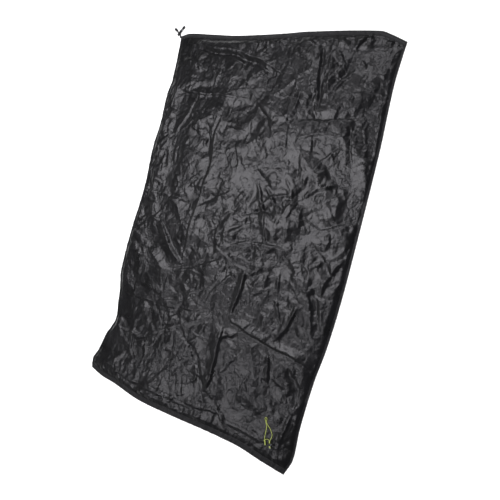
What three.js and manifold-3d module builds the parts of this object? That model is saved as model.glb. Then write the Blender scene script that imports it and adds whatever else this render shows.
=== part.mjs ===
// A packable camp quilt: two crinkled nylon shells round a thin batt, bound along the sides, with a
// drawcord channel and toggle at the head and a drawcord casing, eyelet and toggle near the foot.
//
// Millimetres, +Z up. The quilt lies flat with its head towards +Y and its underside at Z = 0.
// A place on the quilt is (u, v): u runs from -1 on the left edge to 1 on the right, and v from -1
// at the foot to 1 at the head. An inset is a distance in from an edge.

import * as THREE from 'three';
import { mergeVertices } from 'three/addons/utils/BufferGeometryUtils.js';
import Module from 'manifold-3d';

const wasm = await Module();
wasm.setup();

// ---------------------------------------------------------------- driving dimensions

const QUILT_WIDTH = 1320;
const QUILT_LENGTH = 1900;
const FIT = 0.3; // between sewn or moulded neighbours

const SHELL_THICKNESS = 0.6; // a crinkled shell fabric, with its own texture
const TAPE_THICKNESS = 0.5;
const BATT_LOFT = 6;
const BINDING_WIDTH = 10;
const HEAD_HEM_DEPTH = 22;
const FOOT_HEM_DEPTH = 25;

const HEAD_CORD_DIAMETER = 4;
const FOOT_CORD_DIAMETER = 2.5;
const CORD_CLEARANCE = 0.4; // round a cord in its channel, casing or eyelet

const CASING_INSET = 74; // middle of the foot casing, in from the foot edge
const CASING_WIDTH = 18;
const CASING_END = 0.9; // station of each end of the casing

const EYELET_STATION = 0.829;
const EYELET_HOLE_RADIUS = 3.4;
const EYELET_WALL = 0.5;
const EYELET_FLANGE_RADIUS = 6.5;
const EYELET_FLANGE_THICKNESS = 0.7;
const WASHER_THICKNESS = 0.4;

const HEAD_LOCK = {
  cordDiameter: HEAD_CORD_DIAMETER,
  bodyRadius: 6.5,
  stemRadius: 4.6,
  floor: 2,
  web: 1.6, // solid wall each side of the cord slot
  travel: 4,
  collar: 10, // plain length of the body above its cord hole
  springLength: 11,
  wire: 0.9,
  turns: 5,
  buttonLength: 19,
  buttonRadius: 6,
};

const FOOT_LOCK = {
  cordDiameter: FOOT_CORD_DIAMETER,
  bodyRadius: 5.5,
  stemRadius: 3.4,
  floor: 1.5,
  web: 1.4,
  travel: 3,
  collar: 0.5,
  springLength: 4.5,
  wire: 0.6,
  turns: 3,
  buttonLength: 6,
  buttonRadius: 5,
};
const STRAND_GAP = 0.3; // between the two strands that share a toggle

const CORD_END_LENGTH = 22;
const CORD_END_WIDTH = 12;
const CORD_END_HALF = 3.5; // height of each half of the cord end
const CORD_END_ENTRY = 14; // how far the strands reach into it

const TACK_LENGTH = 12;
const TACK_WIDTH = 2.4;
const TACK_HEIGHT = 0.5;
const TACK_STATION = 0.965; // station of the head channel's right-hand tack

const KNOT_RADIUS = 3.2;
const KNOT_LENGTH = 24.4; // the knot and the two short tails that leave it

// How far each edge lies outside the quilt's nominal rectangle, as [station, offset] pairs. The
// fabric is slack, so a spread quilt never lies dead straight.
const LEFT_LAY = [
  [-1, 3], [-0.945, 14.5], [-0.89, -8], [-0.785, -35], [-0.68, -77], [-0.59, -61], [-0.5, -43],
  [-0.41, -16], [-0.21, -9], [0.1, -19], [0.36, 0], [0.46, -10], [0.65, 2], [0.74, -8], [1, 14],
];
const RIGHT_LAY = [
  [-1, -28], [-0.92, -4], [-0.78, -11], [-0.56, -6], [-0.41, 8], [-0.2, 14.5], [0.1, 10],
  [0.5, -1], [0.8, -18], [1, -14],
];
const HEAD_LAY = [
  [-1, 1], [-0.91, 15], [-0.64, 8], [-0.39, 1], [0.05, 9], [0.25, 17], [0.8, 16], [0.89, -2],
  [1, -32],
];
const FOOT_LAY = [
  [-1, -13], [-0.85, 2], [-0.68, 4], [-0.4, 17], [-0.04, 3], [0.31, -17], [0.6, -28],
  [0.82, -21], [1, -18],
];

// ---------------------------------------------------------------- the lie of the quilt

/** A smooth curve of offset against station through [station, offset] pairs. */
function smoothThrough(pairs) {
  const last = pairs.length - 1;
  const slopeAt = (k) => {
    const [before, after] = [pairs[Math.max(k - 1, 0)], pairs[Math.min(k + 1, last)]];
    return (after[1] - before[1]) / (after[0] - before[0]);
  };
  return (station) => {
    const above = pairs.findIndex(([at]) => at >= station);
    const k = Math.min(Math.max(above === -1 ? last : above, 1), last) - 1;
    const [[x0, y0], [x1, y1]] = [pairs[k], pairs[k + 1]];
    const span = x1 - x0;
    const t = (station - x0) / span;
    const [t2, t3] = [t * t, t * t * t];
    return (2 * t3 - 3 * t2 + 1) * y0 + (t3 - 2 * t2 + t) * span * slopeAt(k)
      + (3 * t2 - 2 * t3) * y1 + (t3 - t2) * span * slopeAt(k + 1);
  };
}

const leftLay = smoothThrough(LEFT_LAY);
const rightLay = smoothThrough(RIGHT_LAY);
const headLay = smoothThrough(HEAD_LAY);
const footLay = smoothThrough(FOOT_LAY);

/** The point of the spread quilt at (u, v) and height z. */
function onQuilt(u, v, z) {
  const left = -QUILT_WIDTH / 2 - leftLay(v);
  const right = QUILT_WIDTH / 2 + rightLay(v);
  const foot = -QUILT_LENGTH / 2 - footLay(u);
  const head = QUILT_LENGTH / 2 + headLay(u);
  return new THREE.Vector3(
    THREE.MathUtils.mapLinear(u, -1, 1, left, right),
    THREE.MathUtils.mapLinear(v, -1, 1, foot, head),
    z,
  );
}

const acrossFrom = (inset) => 1 - 2 * inset / QUILT_WIDTH;
const alongFrom = (inset) => 1 - 2 * inset / QUILT_LENGTH;

// Every ring and tape shares these stations, so that neighbours have parallel facets. The corner
// stations lie beyond the middle ones, and a ring that ends before them squeezes them.
const ACROSS_STATIONS = evenly(-0.8, 0.8, 16);
const ALONG_STATIONS = evenly(-0.72, 0.72, 21);
const ACROSS_CORNER = [0.84, 0.88, 0.915, 0.95];
const ALONG_CORNER = [0.76, 0.8, 0.84, 0.88, 0.915, 0.95];

function evenly(low, high, steps) {
  return Array.from({ length: steps + 1 }, (_, k) => low + (high - low) * k / steps);
}

/** The corner stations from the middle ones at `inner` out to `end`, nearest the middle first. */
function cornerStations(inner, corner, end) {
  const squeezed = evenly(Math.abs(inner), Math.abs(end), corner.length + 1).slice(1, -1);
  const shared = Math.abs(end) > corner.at(-1) ? corner : squeezed;
  return [...shared, Math.abs(end)].map((station) => station * Math.sign(end));
}

/** Stations from low to high: the shared middle ones, and the corner ones towards each end. */
function stationsBetween(low, high, middle, corner) {
  const start = cornerStations(middle[0], corner, low).reverse();
  return [...start, ...middle, ...cornerStations(middle.at(-1), corner, high)];
}

const across = (low, high) => stationsBetween(low, high, ACROSS_STATIONS, ACROSS_CORNER);
const along = (low, high) => stationsBetween(low, high, ALONG_STATIONS, ALONG_CORNER);

// ---------------------------------------------------------------- solids from loops

/** A closed solid through a row of closed loops that have as many points each. */
function loftGeometry(loops) {
  const count = loops[0].length;
  const positions = loops.flat().flatMap((p) => [p.x, p.y, p.z]);
  const faces = [];
  for (let k = 0; k + 1 < loops.length; k += 1) {
    for (let i = 0; i < count; i += 1) {
      const j = (i + 1) % count;
      const [a, b, c, d] = [k * count + i, k * count + j, (k + 1) * count + j, (k + 1) * count + i];
      faces.push(a, d, b, b, d, c);
    }
  }
  capFaces(loops[0]).forEach(([a, b, c]) => faces.push(a, b, c));
  const base = (loops.length - 1) * count;
  capFaces(loops.at(-1)).forEach(([a, b, c]) => faces.push(base + a, base + c, base + b));
  const geometry = new THREE.BufferGeometry();
  geometry.setAttribute('position', new THREE.Float32BufferAttribute(positions, 3));
  geometry.setIndex(faces);
  return facingOut(geometry);
}

/** The triangles that fill a loop which is close to flat, going the loop's own way round. */
function capFaces(loop) {
  const normal = new THREE.Vector3();
  loop.forEach((p, i) => normal.add(new THREE.Vector3().crossVectors(p, loop[(i + 1) % loop.length])));
  const turn = new THREE.Quaternion().setFromUnitVectors(normal.normalize(), new THREE.Vector3(0, 0, 1));
  const flat = loop.map((p) => p.clone().applyQuaternion(turn)).map((p) => new THREE.Vector2(p.x, p.y));
  return THREE.ShapeUtils.triangulateShape(flat, []);
}

/** The geometry with its faces turned out if they all point in. */
function facingOut(geometry) {
  const position = geometry.getAttribute('position');
  const index = geometry.getIndex();
  const [a, b, c] = [new THREE.Vector3(), new THREE.Vector3(), new THREE.Vector3()];
  let volume = 0;
  for (let i = 0; i < index.count; i += 3) {
    [a, b, c].forEach((p, k) => p.fromBufferAttribute(position, index.getX(i + k)));
    volume += a.dot(b.cross(c));
  }
  if (volume < 0) index.array.reverse();
  return geometry;
}

/** The quilt-shaped loop that lies inside the edges by the given insets, at height z. */
function ring({ side, head, foot, z }) {
  const rows = across(-acrossFrom(side), acrossFrom(side));
  const columns = along(-alongFrom(foot), alongFrom(head));
  return [
    ...rows.slice(0, -1).map((u) => onQuilt(u, -alongFrom(foot), z)),
    ...columns.slice(0, -1).map((v) => onQuilt(acrossFrom(side), v, z)),
    ...rows.slice(1).reverse().map((u) => onQuilt(u, alongFrom(head), z)),
    ...columns.slice(1).reverse().map((v) => onQuilt(-acrossFrom(side), v, z)),
  ];
}

const raised = (rings, rise) => rings.map((r) => ({ ...r, z: r.z + rise }));

/** A flat strip's closed outline from the [inset, height] points of its middle line. */
function stripSection(points, thickness) {
  const sides = [[], []];
  points.forEach(([inset, z], k) => {
    const [x0, z0] = points[Math.max(k - 1, 0)];
    const [x1, z1] = points[Math.min(k + 1, points.length - 1)];
    const length = Math.hypot(x1 - x0, z1 - z0);
    const normal = [-(z1 - z0) / length, (x1 - x0) / length];
    sides[0].push([inset + normal[0] * thickness / 2, z + normal[1] * thickness / 2]);
    sides[1].unshift([inset - normal[0] * thickness / 2, z - normal[1] * thickness / 2]);
  });
  return [...sides[0], ...sides[1]];
}

/** Points of a half turn round the fold of a tape, from its underside to its top. */
function foldArc(centreInset, centreHeight, radius) {
  return [-90, -30, 30, 90].map((degrees) => {
    const angle = THREE.MathUtils.degToRad(degrees);
    return [centreInset - radius * Math.cos(angle), centreHeight + radius * Math.sin(angle)];
  });
}

/** Sweeps a section of [inset, height] points along an edge: place(station, inset, height). */
function sweepGeometry(stations, section, place) {
  return loftGeometry(stations.map((s) => section.map(([inset, z]) => place(s, inset, z))));
}

const alongHead = (u, inset, z) => onQuilt(u, alongFrom(inset), z);
const alongFoot = (u, inset, z) => onQuilt(u, -alongFrom(inset), z);
const alongLeft = (v, inset, z) => onQuilt(-acrossFrom(inset), v, z);
const alongRight = (v, inset, z) => onQuilt(acrossFrom(inset), v, z);

/** A round section, as [inset, height] points. */
function roundSection(inset, height, diameter, sides = 8) {
  return evenly(0, 2 * Math.PI, sides).slice(0, -1).map((angle) => [
    inset + diameter / 2 * Math.cos(angle),
    height + diameter / 2 * Math.sin(angle),
  ]);
}

// ---------------------------------------------------------------- booleans

function toSolid(geometry) {
  const bare = geometry.clone();
  Object.keys(bare.attributes).filter((name) => name !== 'position')
    .forEach((name) => bare.deleteAttribute(name));
  const merged = mergeVertices(bare, 1e-4);
  return new wasm.Manifold(new wasm.Mesh({
    numProp: 3,
    vertProperties: new Float32Array(merged.getAttribute('position').array),
    triVerts: new Uint32Array(merged.getIndex().array),
  }));
}

function toGeometry(solid) {
  const mesh = solid.getMesh();
  const geometry = new THREE.BufferGeometry();
  geometry.setAttribute('position', new THREE.BufferAttribute(mesh.vertProperties, 3));
  geometry.setIndex(new THREE.BufferAttribute(mesh.triVerts, 1));
  return geometry;
}

function cutBy(geometry, ...cutters) {
  return toGeometry(cutters.reduce((solid, cutter) => solid.subtract(toSolid(cutter)), toSolid(geometry)));
}

// ---------------------------------------------------------------- the packing list

const COLOURS = {
  shell: 0x3a3b3e,
  lining: 0x3b392c,
  batt: 0xd8d8d2,
  tape: 0x141416,
  limeCord: 0xb6d64a,
  blackCord: 0x18181a,
  mouldedBlack: 0x101012,
  spring: 0xb9bcbe,
  gunmetal: 0x6b6e73,
};

const quilt = new THREE.Group();

function addPiece(parent, name, geometry, colour, roughness, metalness = 0) {
  const material = new THREE.MeshStandardMaterial({ color: colour, roughness, metalness });
  const mesh = new THREE.Mesh(geometry, material);
  mesh.name = name;
  parent.add(mesh);
  return mesh;
}

// ---------------------------------------------------------------- shells and batt

// Heights of the stack at the edges, from the ground up: tape, lining, outer shell, tape.
const LINING_EDGE_Z = TAPE_THICKNESS + FIT;
const SHELL_EDGE_Z = LINING_EDGE_Z + SHELL_THICKNESS + FIT;
const TAPE_TOP_Z = SHELL_EDGE_Z + SHELL_THICKNESS + FIT;
const FLAT_TAPE_HEIGHT = TAPE_TOP_Z + TAPE_THICKNESS;
const CROWN_Z = SHELL_THICKNESS + FIT + BATT_LOFT + FIT;

const TUNNEL_WIDTH = 2 * HEAD_CORD_DIAMETER + STRAND_GAP + 2 * CORD_CLEARANCE;
const TUNNEL_SLOPE = 3; // where the channel's upper side comes down to the shell
const HEAD_CATCH = TAPE_THICKNESS + TUNNEL_WIDTH + TUNNEL_SLOPE + FIT;
const EDGE_CATCH = 4; // inset of the shells' raw edges inside a folded tape

const rim = { side: EDGE_CATCH, head: HEAD_CATCH, foot: EDGE_CATCH };
const tapeEnd = { side: BINDING_WIDTH + 2, head: HEAD_HEM_DEPTH + 2, foot: FOOT_HEM_DEPTH + 2 };
const further = (by) => ({ side: tapeEnd.side + by, head: tapeEnd.head + by, foot: tapeEnd.foot + by });

/** Height of the outer shell's underside that far beyond the tapes. */
function shellRise(share) {
  return THREE.MathUtils.lerp(SHELL_EDGE_Z, CROWN_Z, share);
}

const SHELL_RINGS = [
  { ...further(100), z: CROWN_Z },
  { ...further(32), z: shellRise(0.82) },
  { ...tapeEnd, z: SHELL_EDGE_Z },
  { ...rim, z: SHELL_EDGE_Z },
];
const LINING_RINGS = [
  { ...further(12), z: 0 },
  { ...tapeEnd, z: LINING_EDGE_Z },
  { ...rim, z: LINING_EDGE_Z },
];

/** A shell of even thickness whose underside follows the rings, from the middle out to the rim. */
function shellGeometry(rings) {
  return loftGeometry([...raised(rings, SHELL_THICKNESS), ...[...rings].reverse()].map(ring));
}

/** Height of the outer shell's top over the foot end's middle, at an inset from the foot edge. */
function shellTopNearFoot(inset) {
  const above = SHELL_RINGS.findIndex((r) => r.foot <= inset);
  const [inner, outer] = [SHELL_RINGS[above - 1], SHELL_RINGS[above]];
  return THREE.MathUtils.mapLinear(inset, outer.foot, inner.foot, outer.z, inner.z) + SHELL_THICKNESS;
}

const CASING_NEAR_SIDE = CASING_INSET - CASING_WIDTH / 2;
const CASING_TOP_Z = shellTopNearFoot(CASING_NEAR_SIDE) - SHELL_THICKNESS - FIT;
const eyeletSpot = alongFoot(EYELET_STATION, CASING_INSET, shellTopNearFoot(CASING_INSET) + FIT);

const EYELET_SIDES = 16;

/** A round cutter through the shell and the casing's upper side, round the eyelet's barrel. */
function eyeletCutter() {
  const radius = EYELET_HOLE_RADIUS + EYELET_WALL + FIT;
  const depth = 2 * (SHELL_THICKNESS + TAPE_THICKNESS + 4 * FIT);
  const cutter = new THREE.CylinderGeometry(radius, radius, depth, EYELET_SIDES);
  return cutter.rotateX(Math.PI / 2).translate(eyeletSpot.x, eyeletSpot.y, eyeletSpot.z);
}

const BATT_GAP = 0.2; // extra room under the sloping shell
const BATT_FOOT_EDGE = CASING_INSET + CASING_WIDTH / 2 + 2 * FIT;
const BATT_EDGE = 16; // from the tapes to the batt's edge

/** The batt: a pad with a sloping edge that fills the room between the shells. */
function battGeometry() {
  const [crown, slope] = SHELL_RINGS;
  const share = BATT_EDGE / (slope.side - tapeEnd.side);
  const edgeTop = THREE.MathUtils.lerp(SHELL_EDGE_Z, slope.z, share) - FIT - BATT_GAP;
  const top = [
    { ...crown, foot: BATT_FOOT_EDGE + crown.side - tapeEnd.side, z: crown.z - FIT },
    { ...slope, foot: BATT_FOOT_EDGE + slope.side - tapeEnd.side, z: slope.z - FIT - BATT_GAP },
    { ...further(BATT_EDGE), foot: BATT_FOOT_EDGE, z: edgeTop },
  ];
  return loftGeometry([...top, { ...top.at(-1), z: SHELL_THICKNESS + FIT }].map(ring));
}

addPiece(quilt, 'outer_shell', cutBy(shellGeometry(SHELL_RINGS), eyeletCutter()), COLOURS.shell, 0.45);
addPiece(quilt, 'lining_shell', shellGeometry(LINING_RINGS), COLOURS.lining, 0.55);
addPiece(quilt, 'insulation_batt', battGeometry(), COLOURS.batt, 0.95);

// ---------------------------------------------------------------- tapes round the edges

/** A tape folded flat round the shells' raw edges. */
function foldedTapeSection(depth) {
  const radius = (FLAT_TAPE_HEIGHT - TAPE_THICKNESS) / 2;
  const middle = FLAT_TAPE_HEIGHT / 2;
  const centre = radius + TAPE_THICKNESS / 2;
  return stripSection([
    [depth, middle - radius],
    ...foldArc(centre, middle, radius),
    [depth, middle + radius],
  ], TAPE_THICKNESS);
}

/** The head channel: a tunnel for two strands at the fold, and lips that catch the shells. */
function headChannelSection() {
  const height = HEAD_CORD_DIAMETER + 2 * CORD_CLEARANCE + 2 * TAPE_THICKNESS;
  const radius = (height - TAPE_THICKNESS) / 2;
  const centre = radius + TAPE_THICKNESS / 2;
  const lip = TAPE_TOP_Z + TAPE_THICKNESS / 2;
  return stripSection([
    [HEAD_HEM_DEPTH, TAPE_THICKNESS / 2],
    ...foldArc(centre, height / 2, radius),
    [TAPE_THICKNESS + TUNNEL_WIDTH, height - TAPE_THICKNESS / 2],
    [TAPE_THICKNESS + TUNNEL_WIDTH + TUNNEL_SLOPE, lip],
    [HEAD_HEM_DEPTH, lip],
  ], TAPE_THICKNESS);
}

const HEAD_CORD_Z = TAPE_THICKNESS + CORD_CLEARANCE + HEAD_CORD_DIAMETER / 2;
const HEAD_CORD_INSET = HEAD_CORD_Z + CORD_CLEARANCE;
const SECOND_STRAND_INSET = HEAD_CORD_INSET + HEAD_CORD_DIAMETER + STRAND_GAP;

const edgeAcross = across(-1, 1);
const bindingAlong = along(-alongFrom(FOOT_HEM_DEPTH + FIT), alongFrom(HEAD_HEM_DEPTH + FIT));

[
  ['head_channel', edgeAcross, headChannelSection(), alongHead],
  ['foot_hem', edgeAcross, foldedTapeSection(FOOT_HEM_DEPTH), alongFoot],
  ['left_binding', bindingAlong, foldedTapeSection(BINDING_WIDTH), alongLeft],
  ['right_binding', bindingAlong, foldedTapeSection(BINDING_WIDTH), alongRight],
].forEach(([name, stations, section, place]) => {
  addPiece(quilt, name, sweepGeometry(stations, section, place), COLOURS.tape, 0.6);
});

// ---------------------------------------------------------------- foot casing and eyelet

const CASING_BOTTOM_Z = SHELL_THICKNESS + FIT;
const FOOT_CORD_Z = CASING_BOTTOM_Z + TAPE_THICKNESS + FIT + FOOT_CORD_DIAMETER / 2;

/** The casing: a tape folded in two under the outer shell, with its open side to the head. */
function casingSection() {
  const radius = (CASING_TOP_Z - CASING_BOTTOM_Z - TAPE_THICKNESS) / 2;
  const middle = (CASING_TOP_Z + CASING_BOTTOM_Z) / 2;
  const [near, far] = [CASING_NEAR_SIDE, CASING_NEAR_SIDE + CASING_WIDTH];
  return stripSection([
    [far, middle - radius],
    ...foldArc(near + radius + TAPE_THICKNESS / 2, middle, radius),
    [far, middle + radius],
  ], TAPE_THICKNESS);
}

const casingStations = across(-CASING_END, CASING_END);
const casing = sweepGeometry(casingStations, casingSection(), alongFoot);
addPiece(quilt, 'foot_casing', cutBy(casing, eyeletCutter()), COLOURS.tape, 0.7);

const footFitting = new THREE.Group();
footFitting.position.copy(eyeletSpot).add(new THREE.Vector3(0, 0, EYELET_FLANGE_THICKNESS));
quilt.add(footFitting);

const WASHER_TOP_Z = CASING_TOP_Z - TAPE_THICKNESS - FIT;
const EYELET_BARREL_END = WASHER_TOP_Z - WASHER_THICKNESS - footFitting.position.z;

/** The eyelet: a rolled flange above and a barrel that goes down through shell and casing. */
function eyeletGeometry() {
  const outer = EYELET_HOLE_RADIUS + EYELET_WALL;
  const profile = [
    [EYELET_HOLE_RADIUS, EYELET_BARREL_END],
    [outer, EYELET_BARREL_END],
    [outer, -EYELET_FLANGE_THICKNESS],
    [EYELET_FLANGE_RADIUS, -EYELET_FLANGE_THICKNESS],
    [EYELET_FLANGE_RADIUS - 0.3, -EYELET_FLANGE_THICKNESS / 3],
    [EYELET_HOLE_RADIUS + 1.2, 0],
    [EYELET_HOLE_RADIUS, -EYELET_FLANGE_THICKNESS / 2],
    [EYELET_HOLE_RADIUS, EYELET_BARREL_END],
  ].map(([r, z]) => new THREE.Vector2(r, z));
  return new THREE.LatheGeometry(profile, EYELET_SIDES).rotateX(Math.PI / 2);
}

/** The washer that the barrel is set against, under the casing's upper side. */
function washerGeometry() {
  const inner = EYELET_HOLE_RADIUS + EYELET_WALL + FIT;
  const outer = EYELET_FLANGE_RADIUS - 0.5;
  const top = EYELET_BARREL_END + WASHER_THICKNESS;
  const profile = [
    [inner, EYELET_BARREL_END], [outer, EYELET_BARREL_END], [outer, top], [inner, top],
    [inner, EYELET_BARREL_END],
  ].map(([r, z]) => new THREE.Vector2(r, z));
  return new THREE.LatheGeometry(profile, EYELET_SIDES).rotateX(Math.PI / 2);
}

addPiece(footFitting, 'foot_eyelet', eyeletGeometry(), COLOURS.gunmetal, 0.35, 1);
addPiece(footFitting, 'foot_eyelet_washer', washerGeometry(), COLOURS.gunmetal, 0.35, 1);

// ---------------------------------------------------------------- toggles

/** A toggle's lengths along its own axis, from its closed end. */
function toggleSizes(lock) {
  const holeHalf = lock.cordDiameter + STRAND_GAP / 2 + CORD_CLEARANCE;
  const stemEnd = lock.floor + lock.travel + FIT;
  const slotStart = stemEnd + lock.web;
  const holeCentre = slotStart + holeHalf;
  const bodyLength = holeCentre + holeHalf + lock.travel + lock.web + lock.collar;
  const buttonStart = bodyLength + lock.springLength;
  return { holeHalf, stemEnd, slotStart, holeCentre, bodyLength, buttonStart };
}

/** A turned shape from [radius, distance] points, lying along +X. */
function turned(points, sides = 20) {
  const profile = points.map(([r, s]) => new THREE.Vector2(r, s));
  return new THREE.LatheGeometry(profile, sides).rotateZ(-Math.PI / 2);
}

/** A round-ended slot cutter through a toggle, across its axis, from start to end along it. */
function slotCutter(start, end, height, reach) {
  const radius = height / 2;
  const shape = new THREE.Shape();
  shape.absarc(end - radius, 0, radius, -Math.PI / 2, Math.PI / 2);
  shape.absarc(start + radius, 0, radius, Math.PI / 2, 1.5 * Math.PI);
  const options = { depth: 2 * reach, bevelEnabled: false, curveSegments: 5 };
  const slot = new THREE.ExtrudeGeometry(shape, options);
  return slot.translate(0, 0, -reach).rotateX(Math.PI / 2);
}

function toggleBodyGeometry(lock) {
  const { holeHalf, holeCentre, bodyLength } = toggleSizes(lock);
  const bore = lock.stemRadius + FIT;
  const round = lock.bodyRadius * 0.35;
  const shell = turned([
    [0, 0], [lock.bodyRadius - round, 0], [lock.bodyRadius - round * 0.3, round * 0.3],
    [lock.bodyRadius, round], [lock.bodyRadius, bodyLength - round / 2],
    [lock.bodyRadius - round / 3, bodyLength], [bore, bodyLength], [bore, lock.floor], [0, lock.floor],
  ]);
  const height = lock.cordDiameter + 2 * CORD_CLEARANCE;
  const hole = slotCutter(holeCentre - holeHalf, holeCentre + holeHalf, height, 2 * lock.bodyRadius);
  return cutBy(shell, hole);
}

function togglePlungerGeometry(lock) {
  const { holeHalf, stemEnd, slotStart, buttonStart } = toggleSizes(lock);
  const end = buttonStart + lock.buttonLength;
  const dome = lock.buttonRadius * 0.6;
  const button = lock.buttonRadius;
  const shape = turned([
    [0, stemEnd], [lock.stemRadius, stemEnd], [lock.stemRadius, buttonStart],
    [button, buttonStart], [button, end - dome], [button * 0.87, end - dome / 2],
    [button * 0.5, end - dome * 0.13], [0, end],
  ]);
  const height = lock.cordDiameter + 2 * CORD_CLEARANCE;
  const slotEnd = slotStart + 2 * holeHalf + lock.travel;
  return cutBy(shape, slotCutter(slotStart, slotEnd, height, 2 * lock.bodyRadius));
}

class HelixCurve extends THREE.Curve {
  constructor(radius, length, turns) {
    super();
    Object.assign(this, { radius, length, turns });
  }

  getPoint(t, target = new THREE.Vector3()) {
    const angle = 2 * Math.PI * this.turns * t;
    return target.set(this.length * t, this.radius * Math.cos(angle), this.radius * Math.sin(angle));
  }
}

/** A round outline with a few straight sides. */
function roundShape(radius, sides) {
  return new THREE.Shape(evenly(0, 2 * Math.PI, sides).slice(0, -1)
    .map((angle) => new THREE.Vector2(radius * Math.cos(angle), radius * Math.sin(angle))));
}

const SPRING_STEPS_PER_TURN = 10;
const SPRING_SIDES = 6;
const SPRING_CLEARANCE = 0.6; // round the plunger's neck

/** The spring round the plunger's neck, between the body's mouth and the button. */
function toggleSpringGeometry(lock) {
  const { bodyLength } = toggleSizes(lock);
  const clear = lock.wire / 2 + FIT;
  const radius = lock.stemRadius + SPRING_CLEARANCE + lock.wire / 2;
  const helix = new HelixCurve(radius, lock.springLength - 2 * clear, lock.turns);
  const coil = new THREE.ExtrudeGeometry(roundShape(lock.wire / 2, SPRING_SIDES), {
    extrudePath: helix,
    steps: lock.turns * SPRING_STEPS_PER_TURN,
    bevelEnabled: false,
  });
  return coil.translate(bodyLength + clear, 0, 0);
}

/** A toggle with its cord hole at the origin, cords along +Y and its button towards +X. */
function addToggle(parent, prefix, lock) {
  const { holeCentre } = toggleSizes(lock);
  const toggle = new THREE.Group();
  parent.add(toggle);
  [
    ['body', toggleBodyGeometry(lock), COLOURS.mouldedBlack, 0.5, 0],
    ['plunger', togglePlungerGeometry(lock), COLOURS.mouldedBlack, 0.4, 0],
    ['spring', toggleSpringGeometry(lock), COLOURS.spring, 0.3, 1],
  ].forEach(([part, geometry, colour, roughness, metalness]) => {
    const piece = addPiece(toggle, `${prefix}_${part}`, geometry, colour, roughness, metalness);
    piece.position.x = -holeCentre;
  });
  return toggle;
}

// ---------------------------------------------------------------- free cords

/** A cord's tube through points chosen by hand. */
function cordGeometry(points, diameter, stepLength = 2.5 * diameter) {
  const path = new THREE.CatmullRomCurve3(points.map((p) => new THREE.Vector3(...p)), false, 'centripetal');
  const steps = Math.max(4, Math.round(path.getLength() / stepLength));
  const options = { steps, extrudePath: path, bevelEnabled: false };
  return new THREE.ExtrudeGeometry(roundShape(diameter / 2, 8), options);
}

// The foot cords, from the eyelet's mouth. Side by side they bend over into the toggle and run
// straight through it and beyond it, and then they part: the long strand makes the pull loop and
// the short one goes to the knot.
const FOOT_PAIR_PATH = [
  [0, 0, 0.3], [0, 0, 1.2], [-0.36, 1.04, 3.2], [-1.22, 3.49, 4.9], [-2.21, 6.32, 5.6],
  [-4.36, 12.46, 5.7], [-6.81, 19.44, 5.7], [-8.92, 25.48, 5.5],
];
const PULL_LOOP_PATH = [
  [-7.6, 31.6, 4.1], [-6.8, 37.4, 2.5], [-5.7, 44, 1.7], [-5.9, 50.3, 1.7], [-8.6, 57, 1.7],
  [-13.1, 62.9, 1.7], [-18.4, 68.6, 1.7], [-24.3, 73.8, 1.7], [-31.6, 78.8, 1.7],
  [-39.2, 83.4, 1.7], [-45.6, 88, 1.7], [-49.7, 93.1, 1.7], [-52.6, 99.5, 1.7],
  [-55.5, 105.8, 1.7], [-57.6, 107.5, 1.7], [-58.8, 104.9, 1.7], [-55.9, 98.2, 1.7],
  [-52.7, 91.5, 1.7], [-47.6, 84.6, 1.7], [-44, 77.5, 1.7], [-42, 69, 1.7], [-41.1, 60.3, 1.7],
  [-40.2, 52, 1.7], [-39.5, 45.1, 1.7], [-38.8, 37, 1.7], [-37.8, 29.9, 2.1], [-35.7, 22.4, 2.9],
];
const SHORT_STRAND_PATH = [
  [-13.2, 28.6, 4.7], [-18.5, 29.4, 3.6], [-24.5, 27.4, 2.9], [-32.4, 22.2, 2.9],
];
const KNOT_SPOT = [-30.3, 10.45, 3.1];
const KNOT_TURN = 26.2; // degrees that the knot's tails lean from the quilt's length

const TOGGLE_FROM_EYELET = 13.2;
const FOOT_TOGGLE_TURN = THREE.MathUtils.degToRad(19.3);
const FOOT_TOGGLE_Z = 5.7;

/** The eyelet's strand on one side: 1 is towards the toggle's button and -1 away from it. */
function footStrandOffset(side) {
  const reach = side * (FOOT_CORD_DIAMETER + STRAND_GAP) / 2;
  return [reach * Math.cos(FOOT_TOGGLE_TURN), reach * Math.sin(FOOT_TOGGLE_TURN)];
}

/** A lime strand's tube: its side of the pair, and then its own way. */
function limeStrand(side, ownPath) {
  const [dx, dy] = footStrandOffset(side);
  const paired = FOOT_PAIR_PATH.map(([x, y, z]) => [x + dx, y + dy, z]);
  return cordGeometry([...paired, ...ownPath], FOOT_CORD_DIAMETER);
}

[
  ['foot_cord_long', limeStrand(1, PULL_LOOP_PATH)],
  ['foot_cord_short', limeStrand(-1, SHORT_STRAND_PATH)],
].forEach(([name, geometry]) => addPiece(footFitting, name, geometry, COLOURS.limeCord, 0.7));

const knot = addPiece(
  footFitting,
  'foot_cord_knot',
  new THREE.CapsuleGeometry(KNOT_RADIUS, KNOT_LENGTH - 2 * KNOT_RADIUS, 4, 10),
  COLOURS.limeCord,
  0.7,
);
knot.rotation.z = THREE.MathUtils.degToRad(KNOT_TURN);
knot.position.set(...KNOT_SPOT);

const footToggle = addToggle(footFitting, 'foot_lock', FOOT_LOCK);
footToggle.rotation.z = FOOT_TOGGLE_TURN;
footToggle.position.set(
  -TOGGLE_FROM_EYELET * Math.sin(FOOT_TOGGLE_TURN),
  TOGGLE_FROM_EYELET * Math.cos(FOOT_TOGGLE_TURN),
  FOOT_TOGGLE_Z,
);

// ---------------------------------------------------------------- cords inside the quilt

const CASING_CORD_END = 0.87;
const UPTURN_RADIUS = 1.7; // of the bend up into the eyelet
const UPTURN_ANGLES = [0, 30, 60, 90];

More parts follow.
